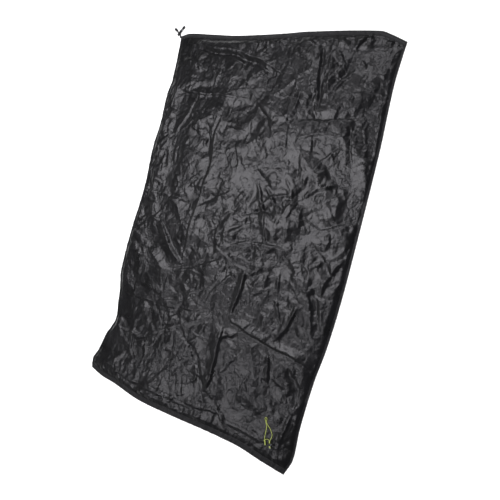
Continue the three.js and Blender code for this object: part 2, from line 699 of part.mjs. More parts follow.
/** A cord's tube with a ring at every point, each square to the cord's run. */
function tubeThrough(points, diameter, sides = 8) {
  const section = roundSection(0, 0, diameter, sides);
  const tangents = points.map((p, k) => new THREE.Vector3()
    .subVectors(points[Math.min(k + 1, points.length - 1)], points[Math.max(k - 1, 0)]).normalize());
  const turn = new THREE.Quaternion().setFromUnitVectors(new THREE.Vector3(0, 0, 1), tangents[0]);
  return loftGeometry(points.map((centre, k) => {
    const bend = new THREE.Quaternion().setFromUnitVectors(tangents[Math.max(k - 1, 0)], tangents[k]);
    turn.premultiply(bend);
    return section.map(([x, y]) => new THREE.Vector3(x, y, 0).applyQuaternion(turn).add(centre));
  }));
}

/** A cord along the casing that turns up into the eyelet; side is -1 from the left, 1 from the right. */
function casingCordGeometry(side) {
  const top = footFitting.position.clone().add(new THREE.Vector3(...footStrandOffset(side), 0));
  const bend = UPTURN_ANGLES.map((degrees) => {
    const angle = THREE.MathUtils.degToRad(degrees);
    return new THREE.Vector3(
      top.x + side * UPTURN_RADIUS * (1 - Math.sin(angle)),
      top.y,
      FOOT_CORD_Z + UPTURN_RADIUS * (1 - Math.cos(angle)),
    );
  });
  const passed = ACROSS_STATIONS.filter((u) => side < 0 && u < EYELET_STATION - 0.1);
  return tubeThrough([
    alongFoot(side * CASING_CORD_END, CASING_INSET, FOOT_CORD_Z),
    ...passed.map((u) => alongFoot(u, CASING_INSET, FOOT_CORD_Z)),
    bend[0].clone().add(new THREE.Vector3(side * 8, side * 0.2, 0)),
    ...bend,
    top,
  ], FOOT_CORD_DIAMETER);
}

addPiece(quilt, 'foot_drawcord_left', casingCordGeometry(-1), COLOURS.limeCord, 0.7);
addPiece(quilt, 'foot_drawcord_right', casingCordGeometry(1), COLOURS.limeCord, 0.7);

/** A strand in the head channel, between two stations. */
function channelCordGeometry(inset, low, high) {
  const section = roundSection(inset, HEAD_CORD_Z, HEAD_CORD_DIAMETER);
  return sweepGeometry(edgeAcross.filter((u) => u >= low && u <= high), section, alongHead);
}

const RETURN_STATION = -0.91; // where the second strand ends, under its tack
[
  ['head_drawcord', channelCordGeometry(HEAD_CORD_INSET, -1, TACK_STATION)],
  ['head_drawcord_return', channelCordGeometry(SECOND_STRAND_INSET, -1, RETURN_STATION)],
].forEach(([name, geometry]) => addPiece(quilt, name, geometry, COLOURS.blackCord, 0.8));

// ---------------------------------------------------------------- head cords, toggle and cord end

const headFitting = new THREE.Group();
headFitting.position.copy(alongHead(-1, (HEAD_CORD_INSET + SECOND_STRAND_INSET) / 2, 0));
quilt.add(headFitting);

// The middle line of the two strands from the channel's mouth: through the toggle, straight, and
// down into the moulded cord end.
const HEAD_CORD_PATH = [
  [-1, -0.2, 2.9], [-4.2, -0.6, 2.9], [-7.4, 0.9, 3.2], [-9, 4.2, 3.8], [-9.5, 7.8, 4.7],
  [-10.5, 11.6, 5.8], [-12.4, 15.1, 6.5], [-20, 20.2, 6.5], [-28.3, 25.7, 6.5], [-36.7, 31.3, 6.5],
  [-40.2, 33.6, 5.1], [-43.2, 35.7, 3.75], [-46.5, 37.8, 3.65], [-55.4, 43.8, 3.65],
];

/** The path moved sideways in the plane of the quilt; to the left of its run is positive. */
function beside(path, distance) {
  return path.map(([x, y, z], k) => {
    const [x0, y0] = path[Math.max(k - 1, 0)];
    const [x1, y1] = path[Math.min(k + 1, path.length - 1)];
    const run = Math.hypot(x1 - x0, y1 - y0);
    return [x - distance * (y1 - y0) / run, y + distance * (x1 - x0) / run, z];
  });
}

const HALF_STRAND_PITCH = (HEAD_CORD_DIAMETER + STRAND_GAP) / 2 + 0.05;
const HEAD_ARM_TURN = THREE.MathUtils.degToRad(146.4); // heading of the strands beyond the corner
const HEAD_TOGGLE_SPOT = [-20, 20.2, HEAD_LOCK.bodyRadius];
const CORD_END_SPOT = [-54.6, 43.2, CORD_END_HALF + FIT / 2];

const HEAD_CORD_STEP = 5;
const blackStrand = (distance) => cordGeometry(
  beside(HEAD_CORD_PATH, distance),
  HEAD_CORD_DIAMETER,
  HEAD_CORD_STEP,
);
addPiece(headFitting, 'head_cord_out', blackStrand(-HALF_STRAND_PITCH), COLOURS.blackCord, 0.8);
addPiece(headFitting, 'head_cord_back', blackStrand(HALF_STRAND_PITCH), COLOURS.blackCord, 0.8);

const headToggle = addToggle(headFitting, 'head_lock', HEAD_LOCK);
headToggle.rotation.z = HEAD_ARM_TURN - Math.PI / 2;
headToggle.position.set(...HEAD_TOGGLE_SPOT);

/** Half of the moulded cord end: a bevelled block with a groove for each strand. */
function cordEndGeometry(upper) {
  const bevel = 1;
  const shape = new THREE.Shape();
  const [x, y] = [CORD_END_LENGTH / 2 - bevel, CORD_END_WIDTH / 2 - bevel];
  shape.moveTo(-x, -y - bevel).lineTo(x, -y - bevel).lineTo(x + bevel, -y).lineTo(x + bevel, y);
  shape.lineTo(x, y + bevel).lineTo(-x, y + bevel).lineTo(-x - bevel, y).lineTo(-x - bevel, -y);
  const block = new THREE.ExtrudeGeometry(shape, { depth: CORD_END_HALF, bevelEnabled: false });
  block.translate(0, 0, upper ? FIT / 2 : -CORD_END_HALF - FIT / 2);
  const grooves = [-1, 1].map((side) => {
    const radius = HEAD_CORD_DIAMETER / 2 + FIT;
    const groove = new THREE.CylinderGeometry(radius, radius, CORD_END_ENTRY + 4, 12);
    const spread = side * (HEAD_CORD_DIAMETER + STRAND_GAP) / 2;
    return groove.rotateZ(Math.PI / 2).translate(-CORD_END_LENGTH / 2 + CORD_END_ENTRY / 2 - 1, spread, 0);
  });
  return cutBy(block, ...grooves);
}

const cordEnd = new THREE.Group();
cordEnd.rotation.z = HEAD_ARM_TURN;
cordEnd.position.set(...CORD_END_SPOT);
headFitting.add(cordEnd);
addPiece(cordEnd, 'cord_end_lower', cordEndGeometry(false), COLOURS.mouldedBlack, 0.5);
addPiece(cordEnd, 'cord_end_upper', cordEndGeometry(true), COLOURS.mouldedBlack, 0.5);

// ---------------------------------------------------------------- bar tacks

/** A dense row of stitches that holds a cord's end, lying across it. */
function tackGeometry() {
  const [half, radius] = [TACK_LENGTH / 2 - TACK_WIDTH / 2, TACK_WIDTH / 2];
  const shape = new THREE.Shape();
  shape.absarc(0, half, radius, 0, Math.PI);
  shape.absarc(0, -half, radius, Math.PI, 2 * Math.PI);
  return new THREE.ExtrudeGeometry(shape, { depth: TACK_HEIGHT, bevelEnabled: false, curveSegments: 4 });
}

const CHANNEL_HEIGHT = HEAD_CORD_DIAMETER + 2 * CORD_CLEARANCE + 2 * TAPE_THICKNESS;
const tackInset = TAPE_THICKNESS + TUNNEL_WIDTH / 2;
const casingTackZ = CASING_TOP_Z - TAPE_THICKNESS - FIT - TACK_HEIGHT;
[
  ['head_tack_left', alongHead(-0.97, tackInset, CHANNEL_HEIGHT + FIT), 0.62],
  ['head_tack_right', alongHead(TACK_STATION - 0.01, tackInset, CHANNEL_HEIGHT + FIT), 0.62],
  ['foot_tack_left', alongFoot(-CASING_CORD_END + 0.012, CASING_INSET, casingTackZ), 0.75],
  ['foot_tack_right', alongFoot(CASING_CORD_END - 0.012, CASING_INSET, casingTackZ), 0.75],
].forEach(([name, spot, stretch]) => {
  const tack = addPiece(quilt, name, tackGeometry(), COLOURS.blackCord, 0.8);
  tack.scale.y = stretch;
  tack.position.copy(spot);
});

export default quilt;
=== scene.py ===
"""A camp quilt spread on a plain floor: crinkled nylon, bound edges, drawcords, toggles and an eyelet.

Lengths are millimetres until a mesh is made, when they become metres in the frame of the part.
A place on the quilt is (u, v): u from -1 on the left edge to 1 on the right, v from -1 at the foot
to 1 at the head. An inset is a distance in from an edge.
"""

from __future__ import annotations

import logging
import math
from dataclasses import dataclass, field
from enum import Enum
from typing import Sequence

import bpy
import numpy as np
from mathutils import Matrix, Vector
from mathutils.geometry import delaunay_2d_cdt


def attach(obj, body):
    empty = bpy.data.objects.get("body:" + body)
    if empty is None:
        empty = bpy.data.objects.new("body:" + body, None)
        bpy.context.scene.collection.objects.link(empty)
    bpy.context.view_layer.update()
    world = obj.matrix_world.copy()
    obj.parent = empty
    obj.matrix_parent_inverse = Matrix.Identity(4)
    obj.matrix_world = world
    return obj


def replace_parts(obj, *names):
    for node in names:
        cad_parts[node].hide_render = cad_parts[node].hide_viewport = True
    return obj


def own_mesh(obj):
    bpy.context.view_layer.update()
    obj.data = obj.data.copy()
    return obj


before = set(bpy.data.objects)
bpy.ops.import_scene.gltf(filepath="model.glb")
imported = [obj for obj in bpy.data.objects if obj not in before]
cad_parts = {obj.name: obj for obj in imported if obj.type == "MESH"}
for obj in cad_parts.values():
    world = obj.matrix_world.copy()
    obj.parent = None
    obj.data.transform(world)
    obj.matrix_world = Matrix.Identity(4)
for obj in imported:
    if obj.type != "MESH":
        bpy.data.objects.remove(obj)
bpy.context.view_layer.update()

MM = 0.001
SEED = 20

log = logging.getLogger("camp_quilt")

Array = np.ndarray
Route = Sequence[tuple[float, float, float]]


class Body(Enum):
    """The bodies of the part that pieces ride on."""

    QUILT = "quilt"
    FOOT_LOCK = "foot_lock"
    HEAD_LOCK = "head_lock"


class Slot(Enum):
    """The material slots of the part."""

    SHELL = "shell_nylon"
    LINING = "lining_nylon"
    BATT = "batt_fill"
    TAPE = "edge_tape"
    LIME_CORD = "lime_cord"
    BLACK_CORD = "black_cord"
    STITCHING = "stitching"
    MOULDED = "moulded_black"
    SPRING = "spring_steel"
    EYELET = "eyelet_metal"


# ------------------------------------------------------------------ small helpers


def linear(hex_colour: str) -> tuple[float, float, float, float]:
    """The linear colour of an sRGB hex string such as "#2a2b2e"."""
    channels = [int(hex_colour[i : i + 2], 16) / 255 for i in (1, 3, 5)]
    return (*(c / 12.92 if c <= 0.04045 else ((c + 0.055) / 1.055) ** 2.4 for c in channels), 1.0)


def smoothstep(low: float, high: float, value: Array) -> Array:
    """0 below low, 1 above high, and an S-curve between them."""
    t = np.clip((value - low) / (high - low), 0.0, 1.0)
    return t * t * (3 - 2 * t)


def hermite(t: Array | float, start: Array, end: Array, leaving: Array, arriving: Array) -> Array:
    """A cubic between two values with a given slope at each.

    Args:
        t: How far along, from 0 to 1.
        start: The value at 0.
        end: The value at 1.
        leaving: The slope at 0.
        arriving: The slope at 1.

    Returns:
        The value at t.
    """
    return (
        (2 * t**3 - 3 * t**2 + 1) * start
        + (t**3 - 2 * t**2 + t) * leaving
        + (3 * t**2 - 2 * t**3) * end
        + (t**3 - t**2) * arriving
    )


def bilinear(values: Array, i: Array, j: Array) -> Array:
    """Values between the points of a lattice.

    Args:
        values: The value at each point.
        i: Fractional row of each place.
        j: Fractional column.

    Returns:
        The value at each place.
    """
    i0, j0 = i.astype(int), j.astype(int)
    fi, fj = i - i0, j - j0
    near = values[i0, j0] * (1 - fi) + values[i0 + 1, j0] * fi
    far = values[i0, j0 + 1] * (1 - fi) + values[i0 + 1, j0 + 1] * fi
    return near * (1 - fj) + far * fj


def add_node(
    tree: bpy.types.NodeTree, kind: str, inputs: dict | None = None, **settings: object
) -> bpy.types.Node:
    """Adds a shader node, sets it up and links it.

    Args:
        tree: The node tree.
        kind: The node's class name.
        inputs: Socket name or number to a value, or to the output socket that feeds it.
        **settings: The node's own settings.

    Returns:
        The new node.
    """
    node = tree.nodes.new(kind)
    for name, value in settings.items():
        setattr(node, name, value)
    for socket, value in (inputs or {}).items():
        target = node.inputs[socket]
        if isinstance(value, bpy.types.NodeSocket):
            tree.links.new(value, target)
        else:
            target.default_value = value
    return node


def mesh_piece(
    name: str,
    points: Array,
    faces: Sequence[Sequence[int]] | Array,
    material: bpy.types.Material,
    body: Body = Body.QUILT,
    uvs: Array | None = None,
    turn: float = math.inf,
) -> bpy.types.Object:
    """Makes a mesh object that rides on a body.

    Args:
        name: The piece's name.
        points: Its vertices in millimetres, one row each.
        faces: Its faces' vertex numbers.
        material: Its material.
        body: The body that it rides on.
        uvs: Texture coordinates of each vertex, in metres along the cloth or cord.
        turn: How far the first coordinate goes in once round, for a piece that closes on itself.

    Returns:
        The object, linked into the scene.
    """
    mesh = bpy.data.meshes.new(name)
    mesh.from_pydata((np.asarray(points, float) * MM).tolist(), [], [list(map(int, f)) for f in faces])
    mesh.validate()
    if uvs is not None:
        corner = np.empty(len(mesh.loops), np.int32)
        mesh.loops.foreach_get("vertex_index", corner)
        corner_uvs = np.asarray(uvs, np.float32)[corner]
        starts = np.empty(len(mesh.polygons), np.int32)
        mesh.polygons.foreach_get("loop_start", starts)
        sizes = np.diff(np.append(starts, len(corner)))
        furthest = np.repeat(np.maximum.reduceat(corner_uvs[:, 0], starts), sizes)
        corner_uvs[furthest - corner_uvs[:, 0] > turn / 2, 0] += turn
        mesh.uv_layers.new(name="run").data.foreach_set("uv", corner_uvs.ravel())
    mesh.polygons.foreach_set("use_smooth", [True] * len(mesh.polygons))
    mesh.materials.append(material)
    piece = bpy.data.objects.new(name, mesh)
    bpy.context.scene.collection.objects.link(piece)
    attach(piece, body.value)
    log.info("%s: %d faces", name, len(mesh.polygons))
    return piece


def strip_faces(rows: int, columns: int, closed: bool) -> Array:
    """The quads of a lattice of points.

    Args:
        rows: How many rows of points it has, one after the other.
        columns: How many points a row has.
        closed: Whether the last column joins the first.

    Returns:
        Four point numbers a row, one row for each quad.
    """
    across = columns if closed else columns - 1
    i, j = np.meshgrid(np.arange(rows - 1), np.arange(across), indexing="ij")
    k = (j + 1) % columns
    quads = np.stack([i * columns + j, i * columns + k, (i + 1) * columns + k, (i + 1) * columns + j], -1)
    return quads.reshape(-1, 4)


def capped_tube_faces(rows: int, columns: int) -> list[list[int]]:
    """The faces of a tube of rings, with a cap on each end.

    Args:
        rows: How many rings it has.
        columns: How many points a ring has.

    Returns:
        Each face's point numbers.
    """
    caps = [list(range(columns))[::-1], [(rows - 1) * columns + j for j in range(columns)]]
    return strip_faces(rows, columns, closed=True).tolist() + caps


# ------------------------------------------------------------------ the lie of the quilt


@dataclass(frozen=True)
class EdgeLay:
    """How far one edge lies outside the nominal rectangle.

    Attributes:
        pairs: (station, offset) pairs, with stations from -1 to 1.
    """

    pairs: tuple[tuple[float, float], ...]

    def offset(self, station: Array) -> Array:
        """The offset of a smooth edge through the pairs.

        Args:
            station: Places along the edge, from -1 to 1.

        Returns:
            How far outside the rectangle the edge lies at each.
        """
        x, y = np.array(self.pairs).T
        last = len(x) - 1
        index = np.arange(last + 1)
        before, after = np.maximum(index - 1, 0), np.minimum(index + 1, last)
        slope = (y[after] - y[before]) / (x[after] - x[before])
        k = np.clip(np.searchsorted(x, station), 1, last) - 1
        span = x[k + 1] - x[k]
        t = (station - x[k]) / span
        return hermite(t, y[k], y[k + 1], span * slope[k], span * slope[k + 1])


@dataclass(frozen=True)
class QuiltLay:
    """The quilt's outline as it lies, and the place of each (u, v) on it.

    Attributes:
        width: Of the nominal rectangle.
        length: Of the nominal rectangle.
        left: How the left edge lies, with stations from the foot to the head.
        right: How the right edge lies.
        head: How the head edge lies, with stations from left to right.
        foot: How the foot edge lies.
    """

    width: float = 1320
    length: float = 1900
    left: EdgeLay = EdgeLay(
        ((-1, 3), (-0.945, 14.5), (-0.89, -8), (-0.785, -35), (-0.68, -77), (-0.59, -61),
         (-0.5, -43), (-0.41, -16), (-0.21, -9), (0.1, -19), (0.36, 0), (0.46, -10), (0.65, 2),
         (0.74, -8), (1, 14))
    )
    right: EdgeLay = EdgeLay(
        ((-1, -28), (-0.92, -4), (-0.78, -11), (-0.56, -6), (-0.41, 8), (-0.2, 14.5), (0.1, 10),
         (0.5, -1), (0.8, -18), (1, -14))
    )
    head: EdgeLay = EdgeLay(
        ((-1, 1), (-0.91, 15), (-0.64, 8), (-0.39, 1), (0.05, 9), (0.25, 17), (0.8, 16),
         (0.89, -2), (1, -32))
    )
    foot: EdgeLay = EdgeLay(
        ((-1, -13), (-0.85, 2), (-0.68, 4), (-0.4, 17), (-0.04, 3), (0.31, -17), (0.6, -28),
         (0.82, -21), (1, -18))
    )

    def place(self, u: Array, v: Array) -> tuple[Array, Array]:
        """Places on the floor plan.

        Args:
            u: Stations across.
            v: Stations along.

        Returns:
            The x and the y of each (u, v).
        """
        s, t = (u + 1) / 2, (v + 1) / 2
        half_width, half_length = self.width / 2, self.length / 2
        x = (1 - s) * (-half_width - self.left.offset(v)) + s * (half_width + self.right.offset(v))
        y = (1 - t) * (-half_length - self.foot.offset(u)) + t * (half_length + self.head.offset(u))
        return x, y

    def insets(self, u: Array, v: Array) -> tuple[Array, Array, Array]:
        """Distances in from the edges.

        Args:
            u: Stations across.
            v: Stations along.

        Returns:
            The insets from the nearer side, from the head and from the foot.
        """
        side = (1 - np.abs(u)) * self.width / 2
        return side, (1 - v) * self.length / 2, (1 + v) * self.length / 2

    def across(self, inset: float) -> float:
        """The u of a distance in from the right-hand side."""
        return 1 - 2 * inset / self.width

    def along(self, inset: float) -> float:
        """The v of a distance in from the head."""
        return 1 - 2 * inset / self.length


LAY = QuiltLay()


# ------------------------------------------------------------------ folds and crinkles


@dataclass(frozen=True)
class Crease:
    """A ridge or valley along a line, steeper on one side than on the other.

    Attributes:
        line: Its points on the floor plan, in millimetres.
        height: Height of its crest; a valley's is negative.
        left: How far it spreads to the left of its line.
        right: How far it spreads to the right.
    """

    line: tuple[tuple[float, float], ...]
    height: float
    left: float
    right: float


# The folds that the quilt was spread with, from the head to the foot. Left and right are as seen
# from the first point of each line.
MAIN_FOLDS = (
    Crease(((-590, 910), (-410, 890), (-220, 865), (-70, 825), (85, 760)), 16.9, 50, 16),
    Crease(((-560, 885), (-400, 864), (-225, 838), (-80, 800), (60, 742)), -10.4, 12, 26),
    Crease(((-600, 830), (-500, 800), (-420, 770)), 5.2, 14, 40),
    Crease(((-565, 650), (-370, 640), (-140, 635)), 6.5, 40, 9),
    Crease(((-155, 775), (-120, 690), (-35, 635), (60, 585), (180, 545)), 7.8, 16, 45),
    Crease(((-5, 595), (85, 515), (115, 445)), -7.8, 12, 40),
    Crease(((180, 545), (215, 400)), 5.2, 10, 30),
    Crease(((180, 545), (410, 570), (620, 595)), -6.5, 40, 8),
    Crease(((160, 740), (205, 665), (195, 585)), 5.2, 20, 9),
    Crease(((255, 895), (290, 745), (325, 595)), -7.8, 24, 12),
    Crease(((300, 900), (335, 750), (360, 640)), 6.5, 30, 14),
    Crease(((465, 785), (405, 735), (370, 675)), 6.5, 9, 26),
    Crease(((295, 930), (410, 895), (500, 900), (615, 915)), 5.2, 16, 30),
    Crease(((35, 895), (180, 915), (240, 885)), 5.2, 14, 24),
    Crease(((-200, 590), (-230, 450), (-205, 280), (-215, 155), (-225, -70), (-225, -255)), 10.4, 60, 14),
    Crease(((-85, 405), (-30, 320), (-35, 270)), 5.2, 20, 8),
    Crease(((-605, 675), (-620, 580), (-620, 450)), -5.2, 20, 30),
    Crease(((-625, 315), (-590, 95), (-615, 20)), -6.5, 24, 40),
    Crease(((-525, 200), (-430, 85), (-235, 85)), -7.8, 45, 16),
    Crease(((-595, -90), (-560, -45), (-455, -45)), 6.5, 12, 30),
    Crease(((125, 100), (210, 185), (315, 210)), 6.5, 9, 34),
    Crease(((150, 230), (210, 185), (280, 95)), 6.5, 30, 9),
    Crease(((55, 70), (200, 115), (295, 55)), -5.2, 26, 9),
    Crease(((10, -105), (135, -45), (250, -35), (400, -45)), 6.5, 10, 34),
    Crease(((495, 550), (530, 450), (565, 340)), -5.2, 8, 26),
    Crease(((340, 185), (410, 245), (525, 290)), 6.5, 30, 9),
    Crease(((375, 130), (490, 95), (605, 140), (705, 160)), -6.5, 34, 10),
    Crease(((385, 315), (400, 375), (495, 450)), 5.2, 10, 24),
    Crease(((230, 465), (365, 495), (500, 490)), 3.9, 20, 8),
    Crease(((615, 775), (630, 565), (645, 435), (650, 295), (670, 130), (670, -65)), 6.5, 26, 12),
    Crease(((-485, -200), (-345, -290), (-325, -375)), 9.1, 45, 12),
    Crease(((-455, -45), (-335, -165), (-205, -250)), 9.1, 14, 50),
    Crease(((-310, -285), (-160, -235), (-30, -170), (45, -145)), -7.8, 34, 12),
    Crease(((180, -175), (175, -275), (160, -380)), 9.1, 10, 50),
    Crease(((-590, -485), (-260, -480), (-65, -440), (115, -390)), -6.5, 12, 36),
    Crease(((140, -405), (270, -435), (390, -450), (535, -465), (635, -475)), 11.7, 45, 10),
    Crease(((135, -445), (140, -555), (150, -695), (125, -770)), 9.1, 14, 46),
    Crease(((485, -260), (455, -375), (410, -440)), 7.8, 9, 40),
    Crease(((-555, -670), (-320, -650), (-165, -540), (-45, -485)), 6.5, 12, 40),
    Crease(((-165, -540), (-30, -595), (85, -720)), -6.5, 30, 10),
    Crease(((400, -485), (430, -550), (445, -615)), 6.5, 9, 26),
    Crease(((640, -385), (645, -500), (645, -600), (635, -715), (645, -855)), 6.5, 20, 14),
    Crease(((515, -515), (590, -575), (605, -685)), -6.5, 14, 34),
    Crease(((-520, -890), (-225, -890), (5, -870), (285, -820)), 5.2, 20, 10),
    Crease(((345, -765), (460, -820), (500, -845)), 3.9, 8, 20),
    Crease(((605, -685), (580, -810), (580, -870)), 5.2, 8, 22),
    Crease(((350, -120), (380, -260), (430, -355)), 3.9, 8, 20),
    Crease(((475, 30), (570, -60), (635, -105)), -6.5, 10, 40),
    Crease(((635, -15), (590, -115), (580, -190)), 6.5, 12, 26),
)


@dataclass(frozen=True)
class FacetScale:
    """One size of the flat facets that packed nylon breaks into.

    Attributes:
        spacing: About how far apart their corners are.
        height: How far the corners rise and fall.
        gathered: Share of it, from 0 to 1, that is kept for the busy places.
    """

    spacing: float
    height: float
    gathered: float


FACETS = (
    FacetScale(190, 7.5, 0.0),
    FacetScale(96, 7.0, 0.1),
    FacetScale(45, 4.2, 0.75),
    FacetScale(22, 1.3, 0.8),
)


@dataclass(frozen=True)
class CreaseScale:
    """One size of random crease.

    Attributes:
        count: How many there are.
        length: Shortest and longest.
        spread: Narrowest and widest, on the gentler side.
        height: Lowest and highest crest.
    """

    count: int
    length: tuple[float, float]
    spread: tuple[float, float]
    height: tuple[float, float]


FACET_CELL = 4.0  # of the raster that facets are drawn in

CREASES = (
    CreaseScale(70, (160, 380), (26, 60), (3.0, 6.0)),
    CreaseScale(650, (50, 170), (12, 28), (1.4, 3.4)),
    CreaseScale(900, (25, 80), (9, 16), (0.7, 1.6)),
)


def gradient_noise(x: Array, y: Array, cell: float, rng: np.random.Generator) -> Array:
    """Smooth noise of about -1 to 1 over a plan.

    Args:
        x: Positions across, in millimetres.
        y: Positions along.
        cell: Size of its lattice.
        rng: The source of its directions.

    Returns:
        The noise at each position.
    """
    gx, gy = (x - x.min()) / cell, (y - y.min()) / cell
    i, j = gx.astype(int), gy.astype(int)
    angles = rng.uniform(0, 2 * math.pi, (i.max() + 2, j.max() + 2))
    fx, fy = gx - i, gy - j

    def corner(di: int, dj: int) -> Array:
        """The pull of one corner of each position's cell."""
        angle = angles[i + di, j + dj]
        return np.cos(angle) * (fx - di) + np.sin(angle) * (fy - dj)

    sx, sy = fx**3 * (fx * (6 * fx - 15) + 10), fy**3 * (fy * (6 * fy - 15) + 10)
    low = corner(0, 0) * (1 - sx) + corner(1, 0) * sx
    high = corner(0, 1) * (1 - sx) + corner(1, 1) * sx
    return 1.6 * (low * (1 - sy) + high * sy)


def fill_triangle(raster: Array, corners: Array, heights: Array) -> None:
    """Draws one flat triangle into a raster of heights.

    Args:
        raster: The heights, which change.
        corners: The triangle's corners, in cells of the raster.
        heights: The height of each corner.
    """
    a, b, c = corners
    i0, j0 = np.maximum(np.floor(corners.min(0)).astype(int), 0)
    i1, j1 = np.ceil(corners.max(0)).astype(int) + 1
    window = raster[i0:i1, j0:j1]
    if not window.size:
        return
    i, j = np.mgrid[i0 : i0 + window.shape[0], j0 : j0 + window.shape[1]]
    whole = (b[0] - a[0]) * (c[1] - a[1]) - (c[0] - a[0]) * (b[1] - a[1])
    share_b = ((i - a[0]) * (c[1] - a[1]) - (c[0] - a[0]) * (j - a[1])) / whole
    share_c = ((b[0] - a[0]) * (j - a[1]) - (i - a[0]) * (b[1] - a[1])) / whole
    within = (share_b >= 0) & (share_c >= 0) & (share_b + share_c <= 1)
    ha, hb, hc = heights
    window[within] = (ha + share_b * (hb - ha) + share_c * (hc - ha))[within]


def faceted(x: Array, y: Array, spacing: float, rng: np.random.Generator) -> Array:
    """Flat triangular facets whose corners lie at random heights of -1 to 1.

    Args:
        x: Positions across, in millimetres.
        y: Positions along.
        spacing: About how far apart the corners are.
        rng: The source of the corners' places and heights.

    Returns:
        The height at each position.
    """
    left, low = x.min() - 2 * spacing, y.min() - 2 * spacing
    columns = math.ceil((x.max() + 2 * spacing - left) / spacing)
    rows = math.ceil((y.max() + 2 * spacing - low) / spacing)
    places = np.stack(np.meshgrid(np.arange(columns), np.arange(rows), indexing="ij"), -1).reshape(-1, 2)
    corners = (places + rng.uniform(-0.5, 0.5, places.shape)) * spacing / FACET_CELL
    heights = rng.uniform(-1, 1, len(corners))
    made, _, triangles, origin, _, _ = delaunay_2d_cdt([Vector(c) for c in corners], [], [], 0, 1e-6)
    made, heights = np.array([list(m) for m in made]), heights[[o[0] for o in origin]]
    raster = np.zeros((int(columns * spacing / FACET_CELL) + 2, int(rows * spacing / FACET_CELL) + 2))
    for triangle in triangles:
        fill_triangle(raster, made[triangle], heights[triangle])
    return bilinear(raster, (x - left) / FACET_CELL, (y - low) / FACET_CELL)


